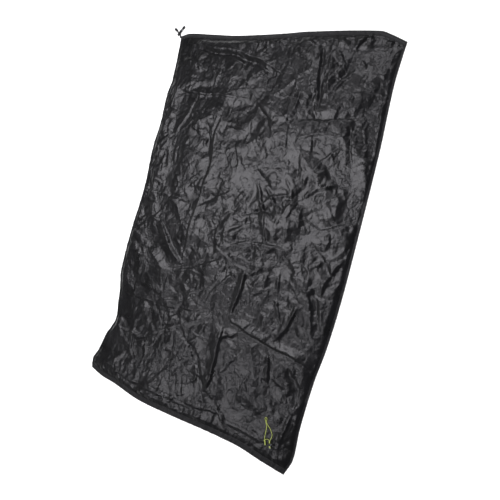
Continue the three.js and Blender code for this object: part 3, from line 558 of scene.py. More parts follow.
@dataclass
class ClothSurface:
    """The upper side of the outer shell, as heights over a lattice of the quilt.

    Attributes:
        spacing: Size of the lattice's cells.
        covered: How far in the tapes cover it, from the sides, the head and the foot.
        edge_height: Height of the shell between the tapes.
        crown: Height of the shell over the batt before folds.
        ease: How far spare cloth lifts it, on the whole, before folds.
        ceiling: Height that no fold passes.
        casing_height: Height of the shell over the drawcord casing.
        calm: Places that the surface lies quiet around, as (x, y, radius).
        u: Stations across of the lattice's columns of points.
        v: Stations along of its rows.
        x: Where each point lies across the floor plan.
        y: Where it lies along it.
        warped_x: The same, bent so that no crease runs straight.
        warped_y: The same, bent.
        height: Height of each point.
    """

    spacing: float = 5.0
    covered: tuple[float, float, float] = (12, 24, 27)
    edge_height: float = 2.3
    crown: float = 7.7
    ease: float = 3.6
    ceiling: float = 27.0
    casing_height: float = 6.4
    calm: tuple[tuple[float, float, float], ...] = ()
    u: Array = field(init=False)
    v: Array = field(init=False)
    x: Array = field(init=False)
    y: Array = field(init=False)
    warped_x: Array = field(init=False)
    warped_y: Array = field(init=False)
    height: Array = field(init=False)

    def __post_init__(self) -> None:
        """Lays out the lattice and folds it."""
        self.u = np.linspace(-1, 1, int(LAY.width / self.spacing) + 1)
        self.v = np.linspace(-1, 1, int(LAY.length / self.spacing) + 1)
        grid_u, grid_v = np.meshgrid(self.u, self.v, indexing="ij")
        self.x, self.y = LAY.place(grid_u, grid_v)
        rng = np.random.default_rng(SEED)
        side, head, foot = LAY.insets(grid_u, grid_v)
        by_side, by_head, by_foot = self.covered
        beyond_tape = np.minimum(np.minimum(side - by_side, head - by_head), foot - by_foot)
        # Over the batt's uneven edge the shell climbs from the tapes to its crown.
        climb = beyond_tape * (1.3 + 0.7 * self._noise(60, rng))
        base = np.interp(climb, [0, 10, 24, 100], [self.edge_height, 5.0, self.crown - 1, self.crown])
        folds = self._folded(rng)
        fade = 0.3 + 0.7 * smoothstep(-6, 22, beyond_tape)
        gathers = self._edge_gathers(side, np.minimum(head, foot), rng)
        folded = base + (fade * (self.ease + folds) + gathers) * self._quiet()
        # Valleys bottom out softly on what lies beneath, and crests round off under the ceiling.
        beneath = np.minimum(base, 1.9 + 0.5 * (base - self.edge_height))
        raised = beneath + self._soft_positive(folded - beneath, 1.2)
        raised = self._over_casing(raised, foot, grid_u)
        room = self.ceiling - base
        self.height = base + np.where(raised > base, room * np.tanh((raised - base) / room), raised - base)

    def _noise(self, cell: float, rng: np.random.Generator) -> Array:
        """Smooth noise over the lattice."""
        return gradient_noise(self.x, self.y, cell, rng)

    @staticmethod
    def _soft_positive(value: Array, softness: float) -> Array:
        """Value where it is well above zero, and a smooth approach to zero below."""
        return softness * np.logaddexp(0, value / softness)

    def _edge_gathers(self, side: Array, end: Array, rng: np.random.Generator) -> Array:
        """Short gathers square to the edges, drawn up by the hems' stitching.

        Args:
            side: Inset of each lattice point from the nearer side.
            end: Its inset from the nearer end.
            rng: The source of the gathers.

        Returns:
            What they add to the height.
        """
        x, y = self.x, self.y
        at_ends = gradient_noise(x, y * 0.22, 17, rng) + 0.5 * gradient_noise(x, y * 0.3, 8, rng)
        at_sides = gradient_noise(x * 0.22, y, 25, rng) + 0.4 * gradient_noise(x * 0.3, y, 11, rng)
        near_end = np.exp(-np.maximum(end - 14, 0) / 45)
        near_side = np.exp(-np.maximum(side - 6, 0) / 32)
        return 2.6 * at_ends * near_end + 2.2 * at_sides * near_side

    def _over_casing(self, height: Array, foot: Array, u: Array) -> Array:
        """Keeps the shell above the drawcord casing, sewn under it 68 to 84 mm in from the foot.

        Args:
            height: Height of the shell.
            foot: Inset of each lattice point from the foot.
            u: Its station across.

        Returns:
            The height, raised where it was too low.
        """
        rise, fall = smoothstep(62, 68, foot), 1 - smoothstep(84, 90, foot)
        floor = self.casing_height * rise * fall * (np.abs(u) < 0.93)
        return floor + self._soft_positive(height - floor, 0.3)

    def _quiet(self) -> Array:
        """How quiet the shell lies round the calm places.

        Returns:
            The share of its folds, from 0 to 1, that each lattice point keeps.
        """
        share = np.ones_like(self.x)
        for x, y, radius in self.calm:
            away = np.hypot(self.x - x, self.y - y)
            share = np.minimum(share, smoothstep(radius, radius + 55, away))
        return share

    def _folded(self, rng: np.random.Generator) -> Array:
        """Folds and crinkles of every size.

        Args:
            rng: The source of what is random in them.

        Returns:
            Their height, which is below zero in valleys.
        """
        bend_x, bend_y = (7 * self._noise(110, rng) + 1.5 * self._noise(34, rng) for _ in range(2))
        self.warped_x, self.warped_y = self.x + bend_x, self.y + bend_y
        height = 2.6 * self._noise(260, rng) + 1.6 * self._noise(120, rng)
        for fold in MAIN_FOLDS:
            self._add(height, fold)
        busy = self._busy(rng)
        for scale in FACETS:
            share = 1 - scale.gathered + scale.gathered * busy
            height += scale.height * share * faceted(self.warped_x, self.warped_y, scale.spacing, rng)
        creased = np.zeros_like(height)
        for scale in CREASES:
            for _ in range(scale.count):
                self._add(creased, self._random_crease(scale, rng))
        return height + (0.5 + 0.5 * busy) * creased

    def _busy(self, rng: np.random.Generator) -> Array:
        """How closely crinkled each place is: most of all in the middle, towards the right.

        Args:
            rng: The source of its patches.

        Returns:
            0 where it is smoothest, and up to 1.3.
        """
        middle = np.exp(-(((self.x - 230) / 330) ** 2) - ((self.y - 60) / 260) ** 2)
        patches = 0.45 + 0.5 * self._noise(210, rng)
        return np.clip(patches + 0.8 * middle, 0, 1.3)

    @staticmethod
    def _random_crease(scale: CreaseScale, rng: np.random.Generator) -> Crease:
        """A slightly bent crease anywhere on the quilt.

        Args:
            scale: Its size.
            rng: The source of its place and form.

        Returns:
            The crease.
        """
        start = rng.uniform((-680, -970), (680, 970))
        heading, length = rng.uniform(0, 2 * math.pi), rng.uniform(*scale.length)
        bend = rng.normal(0, 0.35)
        middle = start + 0.5 * length * np.array([math.cos(heading), math.sin(heading)])
        end = middle + 0.5 * length * np.array([math.cos(heading + bend), math.sin(heading + bend)])
        height = rng.uniform(*scale.height) * rng.choice([1, 1, -1])
        spread = rng.uniform(*scale.spread)
        points = tuple(tuple(p) for p in (start, middle, end))
        return Crease(points, height, spread, max(5.5, spread * rng.uniform(0.2, 0.6)))

    def _add(self, height: Array, crease: Crease) -> None:
        """Adds a crease, in the window of the lattice that it reaches.

        Args:
            height: The heights, which change.
            crease: What is added to them.
        """
        line = np.array(crease.line)
        reach = max(crease.left, crease.right) + 100
        half = np.array([LAY.width, LAY.length]) / 2
        low, high = (line.min(0) - reach) / half, (line.max(0) + reach) / half
        i0, i1 = np.searchsorted(self.u, [low[0], high[0]])
        j0, j1 = np.searchsorted(self.v, [low[1], high[1]])
        if i1 <= i0 or j1 <= j0:
            return
        x, y = self.warped_x[i0:i1, j0:j1], self.warped_y[i0:i1, j0:j1]
        steps = np.hypot(*np.diff(line, axis=0).T)
        total, passed = steps.sum(), 0.0
        nearest = np.full(x.shape, np.inf)
        profile = np.zeros(x.shape)
        for (ax, ay), (bx, by), step in zip(line, line[1:], steps):
            dx, dy = (bx - ax) / step, (by - ay) / step
            t = np.clip((x - ax) * dx + (y - ay) * dy, 0, step)
            away = np.hypot(x - ax - t * dx, y - ay - t * dy)
            on_left = (y - ay) * dx - (x - ax) * dy > 0
            spread = np.where(on_left, crease.left, crease.right)
            end = np.minimum(passed + t, total - passed - t) / total
            taper = np.clip(end / 0.22, 0, 1) ** 0.8
            tent = np.clip(1 - away / (spread * (0.3 + 0.7 * taper)), 0, 1) ** 1.25
            profile = np.where(away < nearest, tent * taper, profile)
            nearest = np.minimum(nearest, away)
            passed += step
        height[i0:i1, j0:j1] += crease.height * profile

    def at(self, u: Array, v: Array) -> Array:
        """The height anywhere on the shell.

        Args:
            u: Stations across.
            v: Stations along.

        Returns:
            The height at each (u, v).
        """
        i = np.clip((u + 1) / 2 * (len(self.u) - 1), 0, len(self.u) - 1.001)
        j = np.clip((v + 1) / 2 * (len(self.v) - 1), 0, len(self.v) - 1.001)
        return bilinear(self.height, i, j)


# ------------------------------------------------------------------ finishes


@dataclass(frozen=True)
class Finish:
    """What every finish shares.

    Attributes:
        name: The material's name.
        colour: Its main tone.
    """

    name: str
    colour: str

    def build(self) -> bpy.types.Material:
        """Makes the material.

        Returns:
            The material.
        """
        material = bpy.data.materials.new(self.name)
        material.use_nodes = True
        tree = material.node_tree
        self.dress(tree, tree.nodes["Principled BSDF"])
        return material

    def dress(self, tree: bpy.types.NodeTree, shader: bpy.types.Node) -> None:
        """Gives the shader its colour, gloss and relief.

        Args:
            tree: The material's nodes.
            shader: The shader.
        """
        raise NotImplementedError

    @staticmethod
    def place(tree: bpy.types.NodeTree) -> bpy.types.NodeSocket:
        """Positions in metres, in the frame of the part."""
        return add_node(tree, "ShaderNodeTexCoord").outputs["Object"]

    @staticmethod
    def paint(
        tree: bpy.types.NodeTree,
        shader: bpy.types.Node,
        share: bpy.types.NodeSocket,
        low: str,
        high: str,
    ) -> None:
        """Gives the shader a base colour between two tones.

        Args:
            tree: The material's nodes.
            shader: The shader.
            share: 0 for the low tone and 1 for the high one.
            low: The low tone.
            high: The high tone.
        """
        mixed = add_node(
            tree, "ShaderNodeMix", {"Factor": share, 6: linear(low), 7: linear(high)}, data_type="RGBA"
        )
        tree.links.new(mixed.outputs[2], shader.inputs["Base Color"])


@dataclass(frozen=True)
class CrinkledNylon(Finish):
    """Light calendered nylon: a fine plain weave, sharp small crinkles and a satin sheen.

    Attributes:
        rubbed: The cloth where it is rubbed pale.
        roughness: Of the calendered face.
        specular: Strength of its reflection.
        crinkle: Depth of its small facets, in metres.
    """

    rubbed: str
    roughness: float
    specular: float
    crinkle: float = 0.0014

    def dress(self, tree: bpy.types.NodeTree, shader: bpy.types.Node) -> None:
        """Gives the shader its colour, gloss and relief.

        Args:
            tree: The material's nodes.
            shader: The shader.
        """
        place = self.place(tree)
        # Soft clouds of wear, about a hand wide, so that no stretch of cloth has one flat tone.
        wear = add_node(tree, "ShaderNodeTexNoise", {"Vector": place, "Scale": 9.0, "Detail": 6.0})
        tone = add_node(
            tree, "ShaderNodeMapRange",
            {"Value": wear.outputs["Fac"], "From Min": 0.3, "From Max": 0.75},
        )
        self.paint(tree, shader, tone.outputs["Result"], self.colour, self.rubbed)
        # Crinkles about 20 and 50 mm apart, sharper in some patches than in others: the small flat
        # facets that are left by packing the cloth small, and what makes it glint in pieces.
        bent = self._bent(tree, place, 22.0, 0.02)
        small, large = (
            add_node(
                tree, "ShaderNodeTexVoronoi", {"Vector": bent, "Scale": scale}, feature="DISTANCE_TO_EDGE"
            ).outputs["Distance"]
            for scale in (48.0, 19.0)
        )
        both = add_node(tree, "ShaderNodeMath", {0: large, 1: 2.2, 2: small}, operation="MULTIPLY_ADD")
        sharpness = add_node(
            tree, "ShaderNodeMapRange",
            {"Value": wear.outputs["Fac"], "From Min": 0.38, "From Max": 0.62, "To Min": 0.4,
             "To Max": 1.1},
        )
        facets = add_node(
            tree, "ShaderNodeMath", {0: both.outputs[0], 1: sharpness.outputs["Result"]},
            operation="MULTIPLY",
        )
        crinkle = add_node(
            tree, "ShaderNodeBump",
            {"Height": facets.outputs[0], "Strength": 1.0, "Distance": self.crinkle},
        )
        # The skin's own fine creases, 1 to 8 mm apart.
        fine = add_node(
            tree, "ShaderNodeTexNoise",
            {"Vector": place, "Scale": 120.0, "Detail": 4.0, "Roughness": 0.6},
        )
        finer = add_node(
            tree, "ShaderNodeBump",
            {"Height": fine.outputs["Fac"], "Strength": 0.5, "Distance": 0.0006,
             "Normal": crinkle.outputs["Normal"]},
        )
        # The plain weave: threads of 0.3 mm, drawn at 0.6 mm so that they hold at this size.
        woven = add_node(
            tree, "ShaderNodeBump",
            {"Height": self._weave(tree, place), "Strength": 0.3, "Distance": 0.00006,
             "Normal": finer.outputs["Normal"]},
        )
        tree.links.new(woven.outputs["Normal"], shader.inputs["Normal"])
        polish = add_node(
            tree, "ShaderNodeMapRange",
            {"Value": wear.outputs["Fac"], "To Min": self.roughness - 0.06, "To Max": self.roughness + 0.1},
        )
        tree.links.new(polish.outputs["Result"], shader.inputs["Roughness"])
        shader.inputs["Specular IOR Level"].default_value = self.specular

    @staticmethod
    def _bent(
        tree: bpy.types.NodeTree, place: bpy.types.NodeSocket, scale: float, reach: float
    ) -> bpy.types.NodeSocket:
        """Positions pushed about by noise, so that no pattern runs straight.

        Args:
            tree: The material's nodes.
            place: The positions.
            scale: Scale of the noise.
            reach: How far it pushes, in metres.

        Returns:
            The bent positions.
        """
        noise = add_node(tree, "ShaderNodeTexNoise", {"Vector": place, "Scale": scale, "Detail": 2.0})
        push = add_node(
            tree, "ShaderNodeVectorMath", {0: noise.outputs["Color"], "Scale": reach}, operation="SCALE"
        )
        bent = add_node(tree, "ShaderNodeVectorMath", {0: place, 1: push.outputs[0]}, operation="ADD")
        return bent.outputs[0]

    @staticmethod
    def _weave(tree: bpy.types.NodeTree, place: bpy.types.NodeSocket) -> bpy.types.NodeSocket:
        """Warp and weft threads as one height.

        Args:
            tree: The material's nodes.
            place: The positions.

        Returns:
            The height, from 0 to 1.
        """
        threads = [
            add_node(
                tree, "ShaderNodeTexWave", {"Vector": place, "Scale": 520.0}, bands_direction=direction
            ).outputs["Fac"]
            for direction in ("X", "Y")
        ]
        both = add_node(tree, "ShaderNodeMath", {0: threads[0], 1: threads[1]}, operation="MAXIMUM")
        return both.outputs[0]


@dataclass(frozen=True)
class WovenTape(Finish):
    """Ribbed binding tape: cross ribs 2 mm apart, low sheen, with a paler rubbed tone.

    Attributes:
        rubbed: The tape where it is rubbed pale.
    """

    rubbed: str

    def dress(self, tree: bpy.types.NodeTree, shader: bpy.types.Node) -> None:
        """Gives the shader its colour, gloss and relief.

        Args:
            tree: The material's nodes.
            shader: The shader.
        """
        run = add_node(tree, "ShaderNodeUVMap", uv_map="run").outputs["UV"]
        place = self.place(tree)
        # Ribs across the tape, which catch the light along it in fine steps.
        ribs = add_node(
            tree, "ShaderNodeTexWave", {"Vector": run, "Scale": 160.0, "Distortion": 0.4},
            bands_direction="X",
        )
        wear = add_node(tree, "ShaderNodeTexNoise", {"Vector": place, "Scale": 60.0, "Detail": 5.0})
        self.paint(tree, shader, wear.outputs["Fac"], self.colour, self.rubbed)
        bump = add_node(
            tree, "ShaderNodeBump", {"Height": ribs.outputs["Fac"], "Strength": 0.5, "Distance": 0.0002}
        )
        tree.links.new(bump.outputs["Normal"], shader.inputs["Normal"])
        shader.inputs["Roughness"].default_value = 0.5
        shader.inputs["Specular IOR Level"].default_value = 0.45


@dataclass(frozen=True)
class BraidedCord(Finish):
    """A braid: crossing strands that stand proud, with painted shade in the gaps between them.

    Attributes:
        gap_shade: The darker tone painted between the strands: painted shade in the braid's recesses.
        strands: How many strands it has.
        pitch: From one strand to the next that winds the same way, in metres along the cord.
    """

    gap_shade: str
    strands: float
    pitch: float

    def dress(self, tree: bpy.types.NodeTree, shader: bpy.types.Node) -> None:
        """Gives the shader its colour, gloss and relief.

        Args:
            tree: The material's nodes.
            shader: The shader.
        """
        run = add_node(tree, "ShaderNodeUVMap", uv_map="run").outputs["UV"]
        parts = add_node(tree, "ShaderNodeSeparateXYZ", {0: run})
        # Where strands of both ways cross they stand proud, and the gaps between are painted darker as
        # painted shade.
        crossing = [self._strand(tree, parts, sign) for sign in (1, -1)]
        proud = add_node(tree, "ShaderNodeMath", {0: crossing[0], 1: crossing[1]}, operation="MULTIPLY")
        shade = add_node(
            tree, "ShaderNodeMapRange", {"Value": proud.outputs[0], "From Max": 0.25, "To Min": 0.35}
        )
        self.paint(tree, shader, shade.outputs["Result"], self.gap_shade, self.colour)
        bump = add_node(
            tree, "ShaderNodeBump", {"Height": proud.outputs[0], "Strength": 0.7, "Distance": 0.0003}
        )
        tree.links.new(bump.outputs["Normal"], shader.inputs["Normal"])
        shader.inputs["Roughness"].default_value = 0.65
        shader.inputs["Sheen Weight"].default_value = 0.15

    def _strand(
        self, tree: bpy.types.NodeTree, parts: bpy.types.Node, sign: int
    ) -> bpy.types.NodeSocket:
        """The strands that wind one way round.

        Args:
            tree: The material's nodes.
            parts: Turns round the cord as X, and metres along it as Y.
            sign: Which way they wind.

        Returns:
            0 in the gaps and 1 on the crests.
        """
        along = add_node(
            tree, "ShaderNodeMath", {0: parts.outputs["Y"], 1: sign * math.pi / self.pitch},
            operation="MULTIPLY",
        )
        angle = add_node(
            tree, "ShaderNodeMath",
            {0: parts.outputs["X"], 1: math.pi * self.strands / 4, 2: along.outputs[0]},
            operation="MULTIPLY_ADD",
        )
        wave = add_node(tree, "ShaderNodeMath", {0: angle.outputs[0]}, operation="SINE")
        crest = add_node(tree, "ShaderNodeMath", {0: wave.outputs[0]}, operation="ABSOLUTE")
        return crest.outputs[0]


@dataclass(frozen=True)
class MouldedPlastic(Finish):
    """Moulded nylon: a fine spark-eroded grain, softened corners and greyer scuffs.

    Attributes:
        scuff: The tone of its scuffs.
        roughness: Of its skin.
        corner: Radius of its softened corners, in metres.
    """

    scuff: str
    roughness: float
    corner: float = 0.0006

    def dress(self, tree: bpy.types.NodeTree, shader: bpy.types.Node) -> None:
        """Gives the shader its colour, gloss and relief.

        Args:
            tree: The material's nodes.
            shader: The shader.
        """
        place = self.place(tree)
        # Soft corners hold a thin highlight, and the grain breaks it up.
        rounded = add_node(tree, "ShaderNodeBevel", {"Radius": self.corner}, samples=6).outputs["Normal"]
        grain = add_node(tree, "ShaderNodeTexNoise", {"Vector": place, "Scale": 2600.0, "Detail": 3.0})
        bump = add_node(
            tree, "ShaderNodeBump",
            {"Height": grain.outputs["Fac"], "Strength": 0.25, "Distance": 0.0001, "Normal": rounded},
        )
        tree.links.new(bump.outputs["Normal"], shader.inputs["Normal"])
        scuffs = add_node(tree, "ShaderNodeTexNoise", {"Vector": place, "Scale": 300.0, "Detail": 6.0})
        worn = add_node(
            tree, "ShaderNodeMapRange", {"Value": scuffs.outputs["Fac"], "From Min": 0.55, "From Max": 0.8}
        )
        self.paint(tree, shader, worn.outputs["Result"], self.colour, self.scuff)
        shader.inputs["Roughness"].default_value = self.roughness


@dataclass(frozen=True)
class PlatedMetal(Finish):
    """Pressed or drawn metal under plating: bright, with fine marks and duller handled spots.

    Attributes:
        roughness: Of the plating, on the whole.
    """

    roughness: float

    def dress(self, tree: bpy.types.NodeTree, shader: bpy.types.Node) -> None:
        """Gives the shader its colour, gloss and relief.

        Args:
            tree: The material's nodes.
            shader: The shader.
        """
        place = self.place(tree)
        # Spots a millimetre or so across, dulled by handling, keep the shine from being even.
        handled = add_node(tree, "ShaderNodeTexNoise", {"Vector": place, "Scale": 900.0, "Detail": 4.0})
        dull = add_node(
            tree, "ShaderNodeMapRange",
            {"Value": handled.outputs["Fac"], "To Min": self.roughness - 0.08,
             "To Max": self.roughness + 0.12},
        )
        tree.links.new(dull.outputs["Result"], shader.inputs["Roughness"])
        rounded = add_node(tree, "ShaderNodeBevel", {"Radius": 0.0003}, samples=6).outputs["Normal"]
        bump = add_node(
            tree, "ShaderNodeBump",
            {"Height": handled.outputs["Fac"], "Strength": 0.1, "Distance": 0.0001, "Normal": rounded},
        )
        tree.links.new(bump.outputs["Normal"], shader.inputs["Normal"])
        shader.inputs["Base Color"].default_value = linear(self.colour)
        shader.inputs["Metallic"].default_value = 1.0


@dataclass(frozen=True)
class FibreBatt(Finish):
    """Lofted polyester: pale, quite matt, with a felted surface."""

    def dress(self, tree: bpy.types.NodeTree, shader: bpy.types.Node) -> None:
        """Gives the shader its colour, gloss and relief.

        Args:
            tree: The material's nodes.
            shader: The shader.
        """
        place = self.place(tree)
        # Fibres matted together, a couple of millimetres apart.
        felt = add_node(tree, "ShaderNodeTexNoise", {"Vector": place, "Scale": 400.0, "Detail": 8.0})
        bump = add_node(
            tree, "ShaderNodeBump", {"Height": felt.outputs["Fac"], "Strength": 0.6, "Distance": 0.001}
        )
        tree.links.new(bump.outputs["Normal"], shader.inputs["Normal"])
        shader.inputs["Base Color"].default_value = linear(self.colour)
        shader.inputs["Roughness"].default_value = 0.95


@dataclass
class Wardrobe:
    """Every material, made once.

    Attributes:
        made: The materials by slot.
    """

    made: dict[Slot, bpy.types.Material] = field(default_factory=dict)

    def __post_init__(self) -> None:
        """Builds the finishes."""
        finishes = {
            Slot.SHELL: CrinkledNylon(
                "calendered_nylon_black", "#09090a", rubbed="#0f0f11", roughness=0.28, specular=0.5,
                crinkle=0.0018,
            ),
            Slot.LINING: CrinkledNylon(
                "calendered_nylon_olive", "#211f16", rubbed="#2c291d", roughness=0.4, specular=0.5
            ),
            Slot.BATT: FibreBatt("polyester_batt", "#dcdad2"),
            Slot.TAPE: WovenTape("ribbed_binding_tape", "#0c0c0d", rubbed="#141416"),
            # The braids' darker tones between the strands are painted shade in the recesses.
            Slot.LIME_CORD: BraidedCord(
                "braided_cord_lime", "#9aa352", gap_shade="#4a5220", strands=16, pitch=0.0032
            ),
            Slot.BLACK_CORD: BraidedCord(
                "braided_cord_black", "#1d1d1f", gap_shade="#0a0a0b", strands=16, pitch=0.0045
            ),
            Slot.STITCHING: WovenTape("bonded_thread", "#1b1b1d", rubbed="#2a2a2c"),
            Slot.MOULDED: MouldedPlastic("moulded_nylon_black", "#121214", scuff="#2c2c2e", roughness=0.42),
            Slot.SPRING: PlatedMetal("drawn_spring_steel", "#c9cbcc", roughness=0.3),
            Slot.EYELET: PlatedMetal("gunmetal_plating", "#85878b", roughness=0.35),
        }
        self.made = {slot: finish.build() for slot, finish in finishes.items()}

    def __getitem__(self, slot: Slot) -> bpy.types.Material:
        """The material of a slot."""
        return self.made[slot]


# ------------------------------------------------------------------ cords


def smooth_route(points: Route, step: float) -> Array:
    """Points close together on the smooth curve through a cord's given points.

    Args:
        points: The points that it goes through, in millimetres.
        step: About how far apart the result's points are.

    Returns:
        The route, one point a row.
    """
    given = np.array(points, float)
    padded = np.vstack([2 * given[0] - given[1], given, 2 * given[-1] - given[-2]])
    route = [given[0]]
    for p0, p1, p2, p3 in zip(padded, padded[1:], padded[2:], padded[3:]):
        d0, d1, d2 = (max(np.linalg.norm(b - a), 1e-6) ** 0.5 for a, b in ((p0, p1), (p1, p2), (p2, p3)))
        out = ((p1 - p0) / d0 - (p2 - p0) / (d0 + d1) + (p2 - p1) / d1) * d1
        into = ((p2 - p1) / d1 - (p3 - p1) / (d1 + d2) + (p3 - p2) / d2) * d1
        count = max(2, math.ceil(np.linalg.norm(p2 - p1) / step))
        for t in np.linspace(0, 1, count + 1)[1:]:
            route.append(hermite(t, p1, p2, out, into))
    return np.array(route)


def tube(route: Array, radius: float | Array, sides: int) -> tuple[Array, list[list[int]], Array]:
    """A round tube along a route.

    Args:
        route: Its middle line.
        radius: Its radius, or one for each point.
        sides: How many sides it has.

    Returns:
        Its vertices, its faces, and a (turn, metres along) pair for each vertex.
    """
    tangents = np.gradient(route, axis=0)
    tangents /= np.linalg.norm(tangents, axis=1, keepdims=True)
    normal = Vector(tangents[0]).orthogonal().normalized()
    angles = np.linspace(0, 2 * math.pi, sides, endpoint=False)
    radii = np.broadcast_to(radius, len(route))
    along = np.concatenate([[0], np.cumsum(np.linalg.norm(np.diff(route, axis=0), axis=1))]) * MM
    points, runs = [], []
    previous = Vector(tangents[0])
    for centre, tangent, r, s in zip(route, tangents, radii, along):
        current = Vector(tangent)
        normal = previous.rotation_difference(current) @ normal
        side = current.cross(normal)
        for angle in angles:
            offset = math.cos(angle) * normal + math.sin(angle) * side
            points.append(np.array(centre) + r * np.array(offset))
            runs.append((angle / math.pi, s))
        previous = current
    return np.array(points), capped_tube_faces(len(route), sides), np.array(runs)


@dataclass(frozen=True)
class CordFacts:
    """What a free strand is.

    Attributes:
        name: The piece's name.
        node: The CAD node that it replaces.
        route: The points that it goes through, from its exit.
        diameter: Its diameter.
        far_end: What ends it; not used.
        companions: Pieces and nodes on it; not used.
    """

    name: str
    node: str
    route: Route
    diameter: float
    far_end: str
    companions: tuple[str, ...]

    def build(self, wardrobe: Wardrobe, slot: Slot) -> bpy.types.Object:
        """The braided strand.

        Args:
            wardrobe: The materials.
            slot: The slot of its finish.

        Returns:
            The piece.
        """
        route = smooth_route(self.route, self.diameter / 3)
        points, faces, runs = tube(route, self.diameter / 2, 14)
        piece = mesh_piece(self.name, points, faces, wardrobe[slot], uvs=runs, turn=2.0)
        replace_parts(piece, self.node)
        return piece


@dataclass(frozen=True)
class FootFitting:
    """The lime drawcord where it leaves the eyelet, with its pull loop, knot and toggle.

    Attributes:
        place: Top of the eyelet.
        turn: Heading of the toggle's button, from +X.
        diameter: Of the cord.
        strand_gap: Between the two strands where they run side by side.
        pair: The middle line of the two strands from the eyelet through the toggle.
        loop: The long strand's own way to the knot.
        short: The short strand's own way to the knot.
        knot_place: Middle of the knot and its tails, from the eyelet.
        knot_turn: How far the knot is turned from +Y.
        overhand: The way of one strand through the knot and out along its tail.
        second: The way of the other.
    """

    place: tuple[float, float, float] = (542.713, -855.532, 8.028)
    turn: float = math.radians(19.3)
    diameter: float = 2.5
    strand_gap: float = 0.3
    pair: Route = (
        (0, 0, 0.3), (0, 0, 1.2), (-0.36, 1.04, 3.2), (-1.22, 3.49, 4.9), (-2.21, 6.32, 5.6),
        (-4.36, 12.46, 5.7), (-6.81, 19.44, 5.7), (-8.92, 25.48, 5.5),
    )
    loop: Route = (
        (-7.6, 31.6, 4.1), (-6.8, 37.4, 2.5), (-5.7, 44, 1.7), (-5.9, 50.3, 1.7), (-8.6, 57, 1.7),
        (-13.1, 62.9, 1.7), (-18.4, 68.6, 1.7), (-24.3, 73.8, 1.7), (-31.6, 78.8, 1.7),
        (-39.2, 83.4, 1.7), (-45.6, 88, 1.7), (-49.6, 93.1, 1.7), (-51.3, 98.3, 1.7),
        (-50.9, 103.2, 1.7), (-52.4, 107.8, 1.7), (-56.4, 109.9, 1.7), (-60.3, 107.6, 1.7),
        (-60.9, 103.2, 1.7), (-57.4, 98.2, 1.7), (-53.0, 91.8, 1.7), (-47.6, 84.6, 1.7),
        (-44, 77.5, 1.7), (-42, 69, 1.7), (-41.1, 60.3, 1.7), (-40.2, 52, 1.7),
        (-39.5, 45.1, 1.7), (-38.8, 37, 1.7), (-37.8, 29.9, 2.1), (-35.7, 22.4, 2.9),
    )
    short: Route = ((-13.2, 28.6, 4.7), (-18.5, 29.4, 3.6), (-24.5, 27.4, 2.9), (-32.4, 22.2, 2.9))
    knot_place: tuple[float, float, float] = (-30.3, 10.45, 3.1)
    knot_turn: float = math.radians(26.2)
    overhand: Route = (
        (-0.9, 12.0, -0.6), (-1.4, 10.6, -0.9), (0.8, 9.0, -0.9), (2.0, 7.6, 0.1), (0.9, 6.2, 1.5),
        (-1.3, 6.6, 1.6), (-2.1, 8.2, 0.5), (-1.0, 9.8, 1.5), (1.2, 9.9, 1.4), (2.1, 8.6, -0.7),
        (0.9, 7.0, -1.2), (-0.9, 5.4, -1.0), (-1.3, 3.0, -1.4), (-1.5, 0.0, -1.6),
        (-1.7, -3.5, -1.7), (-1.9, -7.0, -1.75), (-1.7, -11.3, -1.8),
    )
    second: Route = (
        (1.3, 11.6, -0.2), (1.7, 10.2, 0.9), (-0.2, 8.6, 1.8), (-1.7, 7.3, 0.6), (-1.5, 6.2, -1.0),
        (0.6, 5.6, -1.4), (1.7, 4.4, -1.2), (1.4, 2.0, -1.4), (1.2, -1.0, -1.6), (1.5, -4.0, -1.7),
        (1.3, -7.5, -1.75), (1.0, -10.6, -1.8),
    )

    def _strand(self, side: int, own: Route) -> Route:
        """One strand's points, from the eyelet to the knot.

        Args:
            side: 1 on the side of the toggle's button, or -1.
            own: Its own way, beyond the toggle.

        Returns:
            The points in the frame of the part.
        """
        reach = side * (self.diameter + self.strand_gap) / 2
        shift = np.array([reach * math.cos(self.turn), reach * math.sin(self.turn), 0])
        paired = np.array(self.pair) + shift
        return [tuple(p) for p in np.vstack([paired, np.array(own, float)]) + np.array(self.place)]

    def build_knot(self, wardrobe: Wardrobe) -> bpy.types.Object:
        """The overhand knot and its two short tails, with melted tips.

        Args:
            wardrobe: The materials.

        Returns:
            The piece.
        """
        cos, sin = math.cos(self.knot_turn), math.sin(self.knot_turn)
        turned = np.array([[cos, sin, 0], [-sin, cos, 0], [0, 0, 1]])
        points, faces, runs = [], [], []
        for strand in (self.overhand, self.second):
            route = smooth_route(strand, 0.5) @ turned + np.array(self.place) + np.array(self.knot_place)
            tip = np.ones(len(route))
            tip[-3:] = (0.98, 0.9, 0.62)
            part, part_faces, part_runs = tube(route, tip * self.diameter / 2, 12)
            start = sum(len(p) for p in points)
            points.append(part)
            runs.append(part_runs)
            faces += [[start + k for k in face] for face in part_faces]
        knot = mesh_piece(
            "foot_knot", np.vstack(points), faces, wardrobe[Slot.LIME_CORD],
            uvs=np.vstack(runs), turn=2.0,
        )
        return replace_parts(knot, "foot_cord_knot")

    def build(self, wardrobe: Wardrobe) -> None:
        """The knot and the two strands, with the toggle on both.

        Args:
            wardrobe: The materials.
        """
        self.build_knot(wardrobe)
        on_both = ("foot_knot", "foot_lock_body", "foot_lock_plunger", "foot_lock_coil")
        for name, node, side, own in (
            ("foot_pull_loop", "foot_cord_long", 1, self.loop),
            ("foot_short_strand", "foot_cord_short", -1, self.short),
        ):
            route = self._strand(side, own)
            facts = CordFacts(name, node, route, self.diameter, "knot", on_both)
            facts.build(wardrobe, Slot.LIME_CORD)


